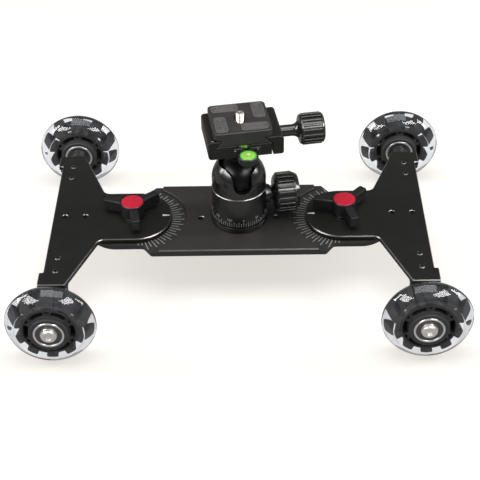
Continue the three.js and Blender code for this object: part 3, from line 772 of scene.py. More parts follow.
class DOLLY_PG_sizes(bpy.types.PropertyGroup):
    """Sizes of the details that dress the solids."""

    plate_bevel: length("Plate bevel", "Width of the cut edge round the centre plate", 0.0008)
    arm_bevel: length("Arm bevel", "Width of the cut edge round each arm", 0.0006)
    mark_width: length("Mark width", "Width of a degree mark on the plate", 0.0006)
    mark_length: length("Short mark", "Length of a degree mark on the plate", 0.0063)
    long_mark_length: length("Long mark", "Length of every second degree mark", 0.009)
    mark_step: IntProperty(name="Degrees to a mark", description="Angle between two marks",
                           default=5, min=1, max=30)
    dial_numeral: length("Dial numeral", "Height of the numerals round the ball head", 0.0026)
    lock_ribs: IntProperty(name="Ribs on the lock knob", description="Ribs round its grip",
                           default=20, min=6)
    clamp_ribs: IntProperty(name="Ribs on the clamp knob", description="Ribs round its grip",
                            default=18, min=6)
    thread_pitch: length("Thread pitch", "Pitch of the camera screw", 0.00127, 0.0002)
    thread_depth: length("Thread depth", "Depth of the camera screw's thread", 0.0005)
    tab_count: IntProperty(name="Hub tabs", description="Tabs that lock a hub in its tyre",
                           default=10, min=3)
    window_count: IntProperty(name="Hub windows", description="Large windows in a hub", default=6,
                              min=3)


class DOLLY_PG_finishes(bpy.types.PropertyGroup):
    """Colours of the dolly's finishes."""

    plate: colour("Plate", "Satin black anodising", (0.037, 0.0355, 0.0335))
    arm: colour("Arms", "Deep black anodising", (0.0175, 0.017, 0.016))
    # Painted highlight: the cut chamfers are coloured far lighter than the black faces beside them.
    edge: colour("Cut edges with painted highlight", "Brighter chamfers round the plate and the arms", (0.17, 0.165, 0.16))
    head: colour("Ball head", "Turned black anodising", (0.011, 0.0107, 0.0102))
    grip: colour("Metal grips", "Fluted knobs of the head and the clamp", (0.085, 0.084, 0.082))
    clamp: colour("Clamp", "Clamp and jaw", (0.018, 0.017, 0.016))
    slab: colour("Release plate", "Blasted black anodising", (0.046, 0.0435, 0.0415))
    # Painted highlight: the release plate's bevels are coloured lighter than its faces.
    worn: colour("Edge highlight", "Top edge of the release plate", (0.09, 0.087, 0.084))
    moulded: colour("Moulded black", "Three-armed knobs and level holder", (0.012, 0.012, 0.012))
    hub: colour("Hubs", "Moulded wheel hubs", (0.008, 0.008, 0.0083))
    cap: colour("Caps", "Round caps of the three-armed knobs", (0.72, 0.015, 0.045))
    steel: colour("Steel", "Races, studs, screws and washers", (0.86, 0.85, 0.83))
    plated: colour("Plated steel", "Axle bolts", (0.85, 0.82, 0.78))
    dark_steel: colour("Blackened steel", "Small screws and pins", (0.11, 0.108, 0.105))
    shield: colour("Bearing shield", "Ring between the races", (0.1, 0.1, 0.11))
    ball: colour("Ball", "Blackened ball and stem", (0.008, 0.008, 0.008))
    pad: colour("Grip pads", "Ribbed pads on the release plate", (0.1, 0.097, 0.094))
    screw: colour("Camera screw", "Warm nickel", (0.78, 0.69, 0.61))
    marks: colour("Printed marks", "Degree marks and numerals", (0.33, 0.33, 0.32))
    # Also the colour of the liquid's painted glow.
    vial: colour("Level liquid", "Liquid in both levels", (0.36, 0.85, 0.11))
    vial_rim: colour("Level rim", "Rim of the round level", (0.12, 0.6, 0.05))
    bubble: colour("Bubble", "Bubble in both levels", (0.8, 0.95, 0.35))
    tyre: colour("Tyre tint", "Light left after a length of urethane", (0.62, 0.68, 0.78))
    tyre_depth: FloatProperty(name="Tyre tint per metre", description="How fast the tint builds up",
                              default=30.0, min=0.0)


class DOLLY_PG_studio(bpy.types.PropertyGroup):
    """Plain white studio."""

    floor: colour("Floor", "Pale floor", (0.9, 0.9, 0.9))
    floor_shade: colour("Floor in shade", "Tint of the floor in shade", (1.0, 0.95, 0.89))
    floor_glow: FloatProperty(name="Floor clearing", default=0.5, min=0.0, max=1.0,
                              description="Share of plain white where the camera sees the floor",
                              subtype="FACTOR")
    floor_white: FloatProperty(name="Floor white", default=1.36, min=0.0,
                               description="Strength of that plain white")
    floor_mirror: FloatProperty(name="Floor in reflections", default=0.3, min=0.0,
                                description="Strength of the floor where a reflection meets it")
    surround: FloatProperty(name="Surround", description="Strength of the white surround's light",
                            default=0.2, min=0.0)
    reflected: FloatProperty(name="Surround in reflections", default=0.15, min=0.0,
                             description="Strength of the white surround in a reflection")
    through: FloatProperty(name="Surround through clear stuff", default=0.5, min=0.0,
                           description="Strength of the white surround behind the clear tyres")
    overhead: FloatProperty(name="Overhead", description="Power of the large soft box above",
                            default=11.0, min=0.0, unit="POWER")
    flank: FloatProperty(name="Side boxes", description="Power of each soft box at a side",
                         default=5.5, min=0.0, unit="POWER")
    front: FloatProperty(name="Front box", description="Power of the soft box in front",
                         default=0.3, min=0.0, unit="POWER")
    low: FloatProperty(name="Low boxes", description="Power of each low box, for reflections alone",
                       default=15.0, min=0.0, unit="POWER")


def sizes():
    return bpy.context.scene.dolly_sizes


# Studio


def softbox(name, place, target, width, height, power):
    """An area lamp of a size and a power, turned to face a target."""
    data = bpy.data.lights.new(name, "AREA")
    data.shape = "RECTANGLE"
    data.size, data.size_y = width, height
    data.energy = power
    obj = bpy.data.objects.new(name, data)
    bpy.context.scene.collection.objects.link(obj)
    obj.location = place
    obj.rotation_euler = (Vector(target) - Vector(place)).to_track_quat("-Z", "Y").to_euler()
    return obj


def by_ray(tree, direct, through, reflected, other):
    """One value as the camera sees it, one through clear stuff, one reflected, one as light."""
    path = tree.nodes.new("ShaderNodeLightPath")
    value = maths(tree, "MULTIPLY_ADD", path.outputs["Is Glossy Ray"], reflected - other, other)
    value = maths(tree, "MULTIPLY_ADD", path.outputs["Is Transmission Ray"],
                  maths(tree, "SUBTRACT", through, value), value)
    return maths(tree, "MULTIPLY_ADD", path.outputs["Is Camera Ray"],
                 maths(tree, "SUBTRACT", direct, value), value)


class DOLLY_OT_studio(bpy.types.Operator):
    """Makes the camera, the soft boxes, the white surround and the floor."""

    bl_idname = "dolly.studio"
    bl_label = "Studio"

    def execute(self, context):
        scene = context.scene
        studio = scene.dolly_studio
        scene.view_settings.view_transform = "Standard"

        lens = bpy.data.cameras.new("camera")
        lens.sensor_width = SENSOR_WIDTH
        lens.lens = SENSOR_WIDTH * FOCAL_PIXELS / PICTURE_WIDTH
        lens.clip_start, lens.clip_end = 0.05, 20.0
        camera = bpy.data.objects.new("camera", lens)
        scene.collection.objects.link(camera)
        ahead = Vector(CAMERA_AHEAD).normalized()
        right = ahead.cross(Vector(CAMERA_UP)).normalized()
        up = right.cross(ahead)
        camera.matrix_world = Matrix.Translation(Vector(CAMERA_PLACE) * MM) @ Matrix(
            (right, up, -ahead)).transposed().to_4x4()
        scene.camera = camera

        world = bpy.data.worlds.new("surround")
        world.use_nodes = True
        scene.world = world
        tree = world.node_tree
        glow = tree.nodes["Background"]
        glow.inputs["Color"].default_value = (1, 1, 1, 1)
        strength = by_ray(tree, 1.0, studio.through, studio.reflected, studio.surround)
        tree.links.new(strength, glow.inputs["Strength"])

        floor_mesh = bpy.data.meshes.new("floor")
        floor_mesh.from_pydata([(-4, -4, 0), (4, -4, 0), (4, 4, 0), (-4, 4, 0)], [], [(0, 1, 2, 3)])
        floor = bpy.data.objects.new("floor", floor_mesh)
        scene.collection.objects.link(floor)
        paint = surface("pale_floor", studio.floor, 0.8, grain=(1.5, 0.02), cloud=(200, 0.01))
        floor_mesh.materials.append(paint)
        tree = paint.node_tree
        white = tree.nodes.new("ShaderNodeEmission")
        white.inputs["Color"].default_value = (*studio.floor_shade, 1)
        mix = tree.nodes.new("ShaderNodeMixShader")
        share = by_ray(tree, studio.floor_glow, studio.floor_glow, 0.8, 0.0)
        tree.links.new(share, mix.inputs[0])
        strength = by_ray(tree, studio.floor_white, studio.floor_white, studio.floor_mirror, 0.0)
        tree.links.new(strength, white.inputs["Strength"])
        tree.links.new(tree.nodes["Principled BSDF"].outputs[0], mix.inputs[1])
        tree.links.new(white.outputs[0], mix.inputs[2])
        tree.links.new(mix.outputs[0], tree.nodes["Material Output"].inputs["Surface"])

        dolly = (0, 0, 0.04)
        softbox("overhead_box", (0, -0.1, 1.4), (0, 0, 0), 1.2, 0.9, studio.overhead)
        softbox("left_box", (-1.15, 0.05, 0.62), dolly, 0.26, 0.5, studio.flank)
        softbox("right_box", (1.15, 0.05, 0.62), dolly, 0.26, 0.5, studio.flank)
        softbox("front_box", (0.1, -1.2, 1.15), dolly, 0.7, 0.4, studio.front)
        for name, place in (("low_left_box", (-0.92, -0.55, 0.82)),
                            ("low_right_box", (0.72, -0.6, 0.97))):
            softbox(name, place, dolly, 0.85, 0.44, studio.low).visible_diffuse = False
        return {"FINISHED"}


# Wheels


def tyre_mesh():
    """A clear ring, its crown full and round, its bore buried in the hub's rim."""
    crown = [(25.3, 9.3), (26.1, 8.85), (27.0, 8.2), (27.9, 7.4), (28.8, 6.35), (29.6, 5.25),
             (30.3, 4.1), (30.9, 3.0), (31.4, 2.0), (31.8, 1.0), (32.0, 0.0)]
    side = [(19.2, 8.1), (20.1, 8.3), (23.9, 9.3, 0.3), (24.6, 9.5, 0.3)] + crown
    low = [(r, -h, *rest) for r, h, *rest in side]
    return lathe(low + side[:-1][::-1], sides=128, ring=True)


class DOLLY_OT_tyres(bpy.types.Operator):
    """Makes the four clear tyres."""

    bl_idname = "dolly.tyres"
    bl_label = "Tyres"

    def execute(self, context):
        for end, side in CORNERS:
            bm = placed(tyre_mesh(), wheel_place(end, side))
            finish_piece(f"clear_tyre_{end}_{side}", bm, [clear_urethane()], f"{end}_{side}_wheel",
                         [f"{end}_{side}_tyre"])
        return {"FINISHED"}


# Half the width of a hub's tab, as a share of the angle between two tabs
TAB_SHARE = 0.28


def hub_mesh():
    """A core for two bearings, a web with large and small windows, a rim and its tabs."""
    half = [(9.6, 4.6), (11.05, 4.7), (11.05, 11.8), (11.3, 12.0), (13.4, 12.0, 0.3),
            (13.9, 11.5, 0.3), (14.1, 8.2, 0.6), (17.7, 7.6, 0.6), (18.1, 8.4, 0.3),
            (19.9, 8.4, 0.4), (20.0, 7.6)]
    low = [(r, -h, *rest) for r, h, *rest in half]
    disc = lathe(low + half[::-1], sides=80, ring=True)
    count = sizes().window_count
    pitch = 360 / count
    tools = []
    levels = [(0.6, -9.2), (0, -7.3), (0, 7.3), (0.6, 9.2)]
    for i in range(count):
        centre = i * pitch
        inner = [polar(14.7, centre + a) for a in (19, 10, 0, -10, -19)]
        outer = [polar(17.9, centre + a) for a in (-19, -10, 0, 10, 19)]
        large = rounded([(*p, 0.7) for p in inner + outer])
        between = centre + pitch / 2
        small = rounded([(*polar(15.9, between), 0.4), (*polar(17.9, between - 6.5), 0.4),
                         (*polar(17.95, between), 0), (*polar(17.9, between + 6.5), 0.4)])
        tools += [slab(anticlockwise(window), levels) for window in (large, small)]
    disc = carved(disc, *tools)
    tabs = sizes().tab_count
    tab_pitch = 360 / tabs
    reach = tab_pitch * TAB_SHARE
    corners = [(*polar(radius, share * reach), rounding) for radius, share, rounding in (
        (19.4, -1, 0), (24.3, -1, 0.8), (24.45, -0.5, 0), (24.5, 0, 0), (24.45, 0.5, 0),
        (24.3, 1, 0.8), (19.4, 1, 0))]
    tab = slab(rounded(corners), [(-0.4, -7.2), (0, -6.8), (0, 6.8), (-0.4, 7.2)], edge=0)
    return merged(disc, copies_round(tab, tabs, start=tab_pitch / 2))


class DOLLY_OT_hubs(bpy.types.Operator):
    """Makes the four moulded hubs with their windows and tabs."""

    bl_idname = "dolly.hubs"
    bl_label = "Hubs"

    def execute(self, context):
        for end, side in CORNERS:
            bm = placed(hub_mesh(), wheel_place(end, side))
            finish_piece(f"wheel_hub_{end}_{side}", bm, [hub_black(), hub_black()],
                         f"{end}_{side}_wheel", [f"{end}_{side}_hub"])
        return {"FINISHED"}


def bearing_mesh():
    """An outer race, a crimped shield and the step down to the inner race."""
    profile = [(6.2, 5.0), (10.6, 5.0, 0.2), (11.0, 5.4, 0.2), (11.0, 11.6, 0.2),
               (10.7, 12.0, 0.15), (9.55, 12.0, 0.15), (9.35, 11.7, 0.1), (9.15, 11.4, 0.2),
               (8.6, 11.55, 0.3), (6.9, 11.5, 0.2), (6.2, 11.3, 0.1)]
    bm = lathe(profile, sides=64, ring=True)
    return painted(bm, lambda c: c.xy.length < 9.3 and c.z > 11.0, 1)


class DOLLY_OT_bearings(bpy.types.Operator):
    """Makes the two ball bearings of each wheel."""

    bl_idname = "dolly.bearings"
    bl_label = "Bearings"

    def execute(self, context):
        steels = [bright_steel(), shield_steel()]
        for end, side in CORNERS:
            for which, flip in (("outer", 0), ("inner", 180)):
                bm = placed(bearing_mesh(), wheel_place(end, side), turn(flip, "X"))
                finish_piece(f"{which}_race_{end}_{side}", bm, steels, f"{end}_{side}_wheel",
                             [f"{end}_{side}_{which}_bearing"])
        return {"FINISHED"}


def hex_prism(radius, bottom, top):
    return slab(circle(radius, 6), [(0, bottom), (0, top)], edge=0)


def axle_bolt_mesh():
    """A low round head with a hexagon socket, on a plain shank."""
    bolt = lathe([(0, -35.0), (3.5, -35.0), (4.0, -34.5), (4.0, 12.3), (5.4, 12.3, 0.1),
                  (5.5, 13.2, 0.25), (4.5, 14.2, 0.35), (3.2, 14.15, 0.1), (0, 14.1)], sides=56)
    rim = lathe([(0, 13.8), (2.4, 13.8), (2.9, 14.3), (0, 14.3)], sides=32)
    return carved(bolt, hex_prism(2.5, 12.9, 15.5), rim)


class DOLLY_OT_axles(bpy.types.Operator):
    """Makes the axle bolts and the inner race sleeves."""

    bl_idname = "dolly.axles"
    bl_label = "Axles"

    def execute(self, context):
        for end, side in CORNERS:
            place = wheel_place(end, side)
            body = f"{side}_arm"
            finish_piece(f"axle_screw_{end}_{side}", placed(axle_bolt_mesh(), place),
                         [plated_steel()] * 2, body, [f"{end}_{side}_axle_bolt"])
            sleeve = lathe([(4.3, -27.0), (7.0, -27.0, 0.3), (7.0, -12.3, 0.3), (5.9, -12.3),
                            (5.9, 12.0, 0.3), (4.3, 12.0)], sides=56, ring=True)
            # The sleeve is dark steel where it reaches past the hub towards the bracket, and bright
            # steel in the bearing.
            painted(sleeve, lambda c: c.z < -12, 1)
            steels = [bright_steel(), dark_steel()]
            finish_piece(f"inner_race_{end}_{side}", placed(sleeve, place), steels, body,
                         [f"{end}_{side}_race_sleeve"])
        return {"FINISHED"}


# Plate and arms

# The scale round each pivot: first angle and span in degrees, and the outline of what lies
# past the plate's edge, less its bevel, in the pivot's frame
MARKS_START, MARKS_SPAN = 100, 160
PAST_EDGE = [(-9.21, 30.9), (12, 30.9), (12, 48), (-15.33, 48), (-15.33, 39.77)]


def plate_mesh():
    """A long plate, cut low at each end where an arm turns."""
    bevel = sizes().plate_bevel / MM
    tip = PIVOT_X + NECK_HALF

    def half(s):
        return [(s * SHOULDER_X, -s * PLATE_HALF, 1.5), (s * NECK_X, -s * NECK_HALF, 4),
                (s * tip, -s * NECK_HALF, NECK_HALF), (s * tip, s * NECK_HALF, NECK_HALF),
                (s * NECK_X, s * NECK_HALF, 4), (s * SHOULDER_X, s * PLATE_HALF, 1.5)]

    straight = [(0, PLATE_BOTTOM), (0, PLATE_TOP)]
    eased = [(-0.3, PLATE_BOTTOM), (0, 36.3), (0, 41.7), (-0.3, PLATE_TOP)]
    holes = [(circle(3.3, 32, s * PIVOT_X)[::-1], straight) for s in (-1, 1)]
    holes += [(circle(2.3, 32, s * 28.2, -1.5)[::-1], eased) for s in (-1, 1)]
    holes += [(circle(5, 32, HEAD_X)[::-1], straight)]
    levels = [(-bevel, PLATE_BOTTOM), (0, PLATE_BOTTOM + bevel), (0, PLATE_TOP - bevel),
              (-bevel, PLATE_TOP)]
    plate = slab(rounded(half(1) + half(-1), widest=5), levels, holes)
    recess = [(0, RECESS_FLOOR), (0, 41.7), (1.3, 43)]
    tools = []
    for s in (-1, 1):
        tools.append(slab(circle(40, 120, s * PIVOT_X), recess, edge=0))
        tools.append(slab(rectangle(30, 45, 0, s * 88.4), recess, edge=0))
    return carved(plate, *tools)


class DOLLY_OT_plate(bpy.types.Operator):
    """Makes the centre plate."""

    bl_idname = "dolly.plate"
    bl_label = "Centre plate"

    def execute(self, context):
        # The plate's chamfers take the lighter edge finish, a painted highlight.
        finish_piece("deck_plate", plate_mesh(), [anodised(), bright_edge()], "base",
                     ["centre_plate"], sharp=20)
        return {"FINISHED"}


def degree_marks():
    """The scale on the plate round a pivot, cut off where the plate ends."""
    size = sizes()
    step = size.mark_step
    bm = from_tree(scale_tree, count=MARKS_SPAN // step + 1, start=math.radians(MARKS_START),
                   step=math.radians(step), radius=29.2, height=RECESS_FLOOR + 0.01,
                   width=size.mark_width / MM, thickness=0.08, length=size.mark_length / MM,
                   long_length=size.long_mark_length / MM, long_every=2, outward=1.0, upward=0.0)
    levels = [(0, RECESS_FLOOR - 1), (0, RECESS_FLOOR + 1)]
    return carved(bm, slab([Vector(p) for p in PAST_EDGE], levels),
                  slab([Vector((x, -y)) for x, y in reversed(PAST_EDGE)], levels))


def numeral(text, angle, radius, height, size):
    """A number wrapped on an upright cylinder, read from outside."""
    curve = bpy.data.curves.new("numeral", "FONT")
    curve.body = text
    curve.size = size
    curve.align_x = "CENTER"
    curve.extrude = 0.03
    curve.offset = 0.06
    curve.resolution_u = 3
    obj = bpy.data.objects.new("numeral", curve)
    bpy.context.scene.collection.objects.link(obj)
    mesh = evaluated(obj)
    bm = bmesh.new()
    bm.from_mesh(mesh)
    bpy.data.meshes.remove(mesh)
    bpy.data.objects.remove(obj)
    bpy.data.curves.remove(curve)
    for vert in bm.verts:
        x, y, z = vert.co
        spot = polar(radius + z, angle + math.degrees(x / radius))
        vert.co = (spot.x, spot.y, height + y)
    bmesh.ops.remove_doubles(bm, verts=bm.verts, dist=1e-4)
    bmesh.ops.recalc_face_normals(bm, faces=bm.faces)
    return bm


class DOLLY_OT_marks(bpy.types.Operator):
    """Prints the degree marks on the plate, the dial round the ball head and the arms' pointers."""

    bl_idname = "dolly.marks"
    bl_label = "Printed marks"

    def execute(self, context):
        wedge = [(-27.4, -0.35), (-22, -1.1), (-22, 1.1), (-27.4, 0.35)]
        for side in SIDES:
            place = arm_place(side)
            finish_piece(f"degree_marks_{side}", placed(degree_marks(), place),
                         [print_white()] * 2, "base")
            pointer = slab([Vector(p) for p in wedge], [(0, ARM_TOP - 0.02), (0, ARM_TOP + 0.06)])
            finish_piece(f"pointer_{side}", placed(pointer, place), [pointer_white()] * 2,
                         f"{side}_arm")
        step = 5
        dial = from_tree(scale_tree, count=360 // step, start=0.0, step=math.radians(step),
                         radius=HOUSING_RADIUS, height=47.2, width=0.42, thickness=0.1,
                         length=3.0, long_length=4.2, long_every=2, outward=0.0, upward=1.0)
        size = sizes().dial_numeral / MM
        numerals = [numeral(str(angle), angle - 90, HOUSING_RADIUS + 0.04, 52.2, size)
                    for angle in range(0, 360, 30)]
        finish_piece("dial_marks", placed(merged(dial, *numerals), head_place()), [print_white()],
                     "housing")
        return {"FINISHED"}


def arm_mesh():
    """A round tongue over the plate's end and a long crossbar, its ends stepped outward."""
    bevel = sizes().arm_bevel / MM
    x = AXLE_FROM_PIVOT
    tongue = 28.5

    def side(y):
        return [(-tongue, y * tongue, tongue), (23.5, y * tongue, 6),
                (x - 7.9, y * ARM_HALF_LENGTH, 1), (x + 11.8, y * ARM_HALF_LENGTH, 1),
                (x + 11.8, y * 65, 0.8), (x + 8.7, y * 65, 0.8)]

    def hole(radius, at_x, at_y, wide=0.3):
        points = circle(radius, 28, at_x, at_y)[::-1]
        return points, [(0, ARM_BOTTOM), (0, ARM_TOP - wide), (-wide, ARM_TOP)]

    holes = [hole(3.3, 0, 0), hole(2.2, x, 0, 0.35), hole(2.2, x - 15.3, 0, 0.35)]
    holes += [hole(1.9, x, y, 0.6) for y in ARM_SCREWS_Y]
    levels = [(-0.4, ARM_BOTTOM), (0, 40.7), (0, ARM_TOP - bevel), (-bevel, ARM_TOP)]
    return slab(rounded(side(-1) + side(1)[::-1], widest=5), levels, holes)


def small_screw_mesh(radius=2.35):
    """A domed socket screw, its seat at height zero."""
    screw = lathe([(0, -2.4), (radius * 0.75, -2.4), (radius * 0.75, -0.5), (radius, -0.25, 0.1),
                   (radius, 0.15, 0.15), (radius * 0.72, 0.62, 0.3), (radius * 0.5, 0.68, 0.1),
                   (0, 0.68)], sides=32)
    return carved(screw, hex_prism(radius * 0.5, -0.7, 2))


class DOLLY_OT_arms(bpy.types.Operator):
    """Makes the two arms and the small screws along their ends."""

    bl_idname = "dolly.arms"
    bl_label = "Arms"

    def execute(self, context):
        for side in SIDES:
            place = arm_place(side)
            # The arm's chamfers take the lighter edge finish, a painted highlight.
            finish_piece(f"swing_arm_{side}", placed(arm_mesh(), place),
                         [arm_black(), bright_edge()], f"{side}_arm", [f"{side}_arm"],
                         sharp=20)
            spots = [(AXLE_FROM_PIVOT, y, ARM_TOP) for y in ARM_SCREWS_Y]
            screws = copies_at(small_screw_mesh(), spots)
            finish_piece(f"arm_screws_{side}", placed(screws, place), [dark_steel()] * 2,
                         f"{side}_arm")
        return {"FINISHED"}


def bracket_mesh():
    """A flange and a leg with a round end, their edges eased."""
    leg = slab(rounded([(9, 23, 9), (9, 40, 0), (-9, 40, 0), (-9, 23, 9)]),
               [(-0.6, 0), (0, 0.6), (0, 7.4), (-0.6, 8)],
               [(circle(4.3, 32, 0, AXLE_HEIGHT)[::-1], [(0, 0), (0, 8)])])
    leg = placed(leg, shift(0, ARM_HALF_LENGTH), turn(90, "X"))
    flange = slab(rectangle(9, 18, 1, 0, 61), [(-0.5, 35.5), (0, 36), (0, 39.7), (-0.3, 40)])
    return joined(leg, flange)


class DOLLY_OT_brackets(bpy.types.Operator):
    """Makes the four brackets under the arms' ends."""

    bl_idname = "dolly.brackets"
    bl_label = "Axle brackets"

    def execute(self, context):
        for end, side in CORNERS:
            across = SIDES[side] * (PIVOT_X + AXLE_FROM_PIVOT)
            place = shift(across) @ turn(0 if end == "rear" else 180)
            # The bracket's chamfers take the lighter edge finish, a painted highlight.
            finish_piece(f"bracket_{end}_{side}", placed(bracket_mesh(), place),
                         [arm_black(), bright_edge()], f"{side}_arm", [f"{end}_{side}_bracket"])
        return {"FINISHED"}


# Pivots and their knobs


class DOLLY_OT_pivots(bpy.types.Operator):
    """Makes the pivot studs and their washers."""

    bl_idname = "dolly.pivots"
    bl_label = "Pivot studs"

    def execute(self, context):
        for side in SIDES:
            place = arm_place(side)
            stud = lathe([(0, 32.3), (3.8, 32.3, 1.5), (7.2, 34.0, 0.6), (7.5, 35.7, 0.2),
                          (3, 35.7), (3, 52.6), (2.7, 52.9), (0, 52.9)], sides=48)
            finish_piece(f"pivot_stud_{side}", placed(stud, place), [bright_steel()], "base",
                         [f"{side}_stud"])
            washer = lathe([(3.3, 44.3), (7, 44.3, 0.3), (7, 45.9, 0.3), (3.3, 45.9)], sides=48,
                           ring=True)
            finish_piece(f"pivot_washer_{side}", placed(washer, place), [bright_steel()], "base",
                         [f"{side}_washer"])
        return {"FINISHED"}


def knob_mesh():
    """A round hub with three plain bars, bored below and sunk on top."""
    hub = lathe([(3.3, 46.2), (8.6, 46.2, 0.3), (8.9, 46.6, 0.2), (8.9, 56.4, 0.3),
                 (8.6, 57.0, 0.25), (8.35, 57.0), (8.35, 55.8), (0, 55.8), (0, 53.2),
                 (3.3, 53.2)], sides=64)
    levels = [(-0.7, 46.9), (0, 47.6), (0, 54.9), (-0.3, 55.5), (-1.0, 55.9)]
    arms = [placed(slab(rectangle(11.5, 3.3, 1.3, 11.5), levels, edge=0), turn(120 * k))
            for k in range(3)]
    room = lathe([(0, 55.8), (8.35, 55.8), (8.35, 58), (0, 58)], sides=64)
    bore = lathe([(0, 45), (3.3, 45), (3.3, 53.2), (0, 53.2)], sides=32)
    return carved(joined(hub, *arms), room, bore)


class DOLLY_OT_knobs(bpy.types.Operator):
    """Makes the three-armed clamp knobs and their plain red caps."""

    bl_idname = "dolly.knobs"
    bl_label = "Clamp knobs"

    def execute(self, context):
        for side, angle in (("left", 40), ("right", 47)):
            place = shift(SIDES[side] * PIVOT_X) @ turn(angle)
            body = f"{side}_clamp_knob"
            finish_piece(f"three_arm_knob_{side}", placed(knob_mesh(), place),
                         [moulded_black()] * 2, body, [f"{side}_knob"], sharp=30)
            cap = lathe([(0, 56.1), (8.1, 56.1, 0.2), (8.2, 57.15, 0.35), (5.6, 57.48, 2),
                         (0, 57.6)], sides=64)
            finish_piece(f"red_cap_{side}", placed(cap, place), [cap_red()], body,
                         [f"{side}_knob_cap"])
        return {"FINISHED"}


# Ball head

# Share of the room round a knob that its ribs take
RIB_SHARE = 0.42


class DOLLY_OT_pan_base(bpy.types.Operator):
    """Makes the fixed base of the ball head and the screw that holds it."""

    bl_idname = "dolly.pan_base"
    bl_label = "Pan base"

    def execute(self, context):
        base = lathe([(5, 42.3), (21.1, 42.3, 0.2), (21.4, 42.7, 0.2), (21.4, 45.9), (21.1, 46.3),
                      (10, 46.3), (10, 51.3, 0.3), (5, 51.3)], sides=96, ring=True)
        finish_piece("turning_base", placed(base, head_place()), [turned_black()], "base",
                     ["pan_base"])
        screw = lathe([(0, 32.5), (7.4, 32.5, 0.4), (8, 33.2, 0.3), (8, 35.7), (4.7, 35.7),
                       (4.7, 47.2), (4.2, 47.7), (0, 47.7)], sides=48)
        screw = carved(screw, hex_prism(4.0, 30, 34.5))
        finish_piece("head_screw", placed(screw, head_place()), [bright_steel()] * 2, "base",
                     ["mounting_screw"])
        return {"FINISHED"}


def housing_mesh():
    """A bullet-shaped shell round the ball, slotted in front, with a boss for the lock knob."""
    foot = [(0, 51.6), (10.3, 51.6), (10.3, 46.6), (HOUSING_RADIUS - 0.4, 46.6, 0.2),
            (HOUSING_RADIUS, 47.0, 0.2), (HOUSING_RADIUS, 71.1, 0.15), (19.85, 71.55, 0.1),
            (19.75, 71.9, 0.1)]
    dome = arc(20.0, 78.4, -16, 0, 3)[1:] + arc(20, 79.2, 3, 42.5, 9)
    mouth = [(14.35, 92.7, 0.3), (14.2, 92.0, 0.2), (14.4, 88.1)]
    socket = arc(16.6, BALL_HEIGHT, 29.1, -90, 16)[1:]
    shell = lathe(foot + dome + mouth + socket, sides=96)
    right = [(6.75, 76.45, 6.75), (6.75, 89.6, 5), (12.0, 93.2, 2), (12.0, 101, 0)]
    left = [(-x, z, radius) for x, z, radius in reversed(right)]
    slot = placed(slab(rounded(right + left), [(0, 0), (0, 24)]), turn(90, "X"))
    boss = lathe([(0, 14.3), (7.6, 14.3), (7.0, 21.0, 1), (7.0, 22.6, 0.3), (6.6, 23, 0.2),
                  (0, 23)], sides=48)
    bore = lathe([(0, 16.7), (4.3, 16.7), (4.3, 26), (0, 26)], sides=32)
    along = shift(0, 0, LOCK_HEIGHT) @ turn(90, "Y")
    whole = carved(joined(shell, placed(boss, along)), slot, placed(bore, along))
    whole = softened(whole, 0.45, steeper=50,
                     where=lambda c: c.y < -9 and c.z > 74 and c.length > 18)
    painted(whole, lambda c: True, 0)
    # Painted highlight: the lower chamfer of the parting line takes the lighter edge finish, so it
    # shows as a thin bright line.
    return painted(whole, lambda c: 71.12 < c.z < 71.6 and c.xy.length > 19.5, 1)


class DOLLY_OT_housing(bpy.types.Operator):
    """Makes the ball head's housing."""

    bl_idname = "dolly.housing"
    bl_label = "Ball housing"

    def execute(self, context):
        finish_piece("ball_shell", placed(housing_mesh(), head_place()),
                     [turned_black(), bright_edge()], "housing", ["ball_housing"],
                     sharp=32)
        return {"FINISHED"}


def rib_mesh(root, crest, start, end, spread, count):
    """One rounded rib along a knob's axis, of a count that stand on a circle of radius spread."""
    half_width = math.pi * spread / count * RIB_SHARE
    outline = rounded([(root - 1, -half_width * 1.15, 0), (crest, -half_width, half_width * 0.7),
                       (crest, half_width, half_width * 0.7), (root - 1, half_width * 1.15, 0)])
    return slab(outline, [(-0.35, start), (0, start + 0.5), (0, end - 0.5), (-0.35, end)], edge=0)


def lock_knob_mesh():
    """A shaft, a flared neck and a ribbed grip between two plain shoulders."""
    body = lathe([(0, 17), (4, 17), (4, 23.3), (4.6, 23.3), (4.6, 24.6, 0.8), (11.6, 25.9, 1.5),
                  (13.4, 27.1, 0.6), (14.1, 27.9, 0.3), (14.1, 28.3, 0.2), (13.1, 28.5),
                  (13.1, 39.6), (14.1, 39.8, 0.2), (14.1, 41.2, 0.8), (12.4, 44.0, 0.8),
                  (9.8, 44.2, 0.2), (9.4, 43.8, 0.2), (0, 43.8)], sides=80)
    count = sizes().lock_ribs
    rib = rib_mesh(13.2, 15, 28.1, 40.2, 14.4, count)
    return merged(body, copies_round(rib, count, start=4))


class DOLLY_OT_lock_knob(bpy.types.Operator):
    """Makes the main lock knob of the ball head."""

    bl_idname = "dolly.lock_knob"
    bl_label = "Lock knob"

    def execute(self, context):
        place = head_place() @ shift(0, 0, LOCK_HEIGHT) @ turn(90, "Y")
        finish_piece("fluted_lock_knob", placed(lock_knob_mesh(), place), [grip_black()] * 2,
                     "lock_knob", ["lock_knob"], sharp=32)
        return {"FINISHED"}


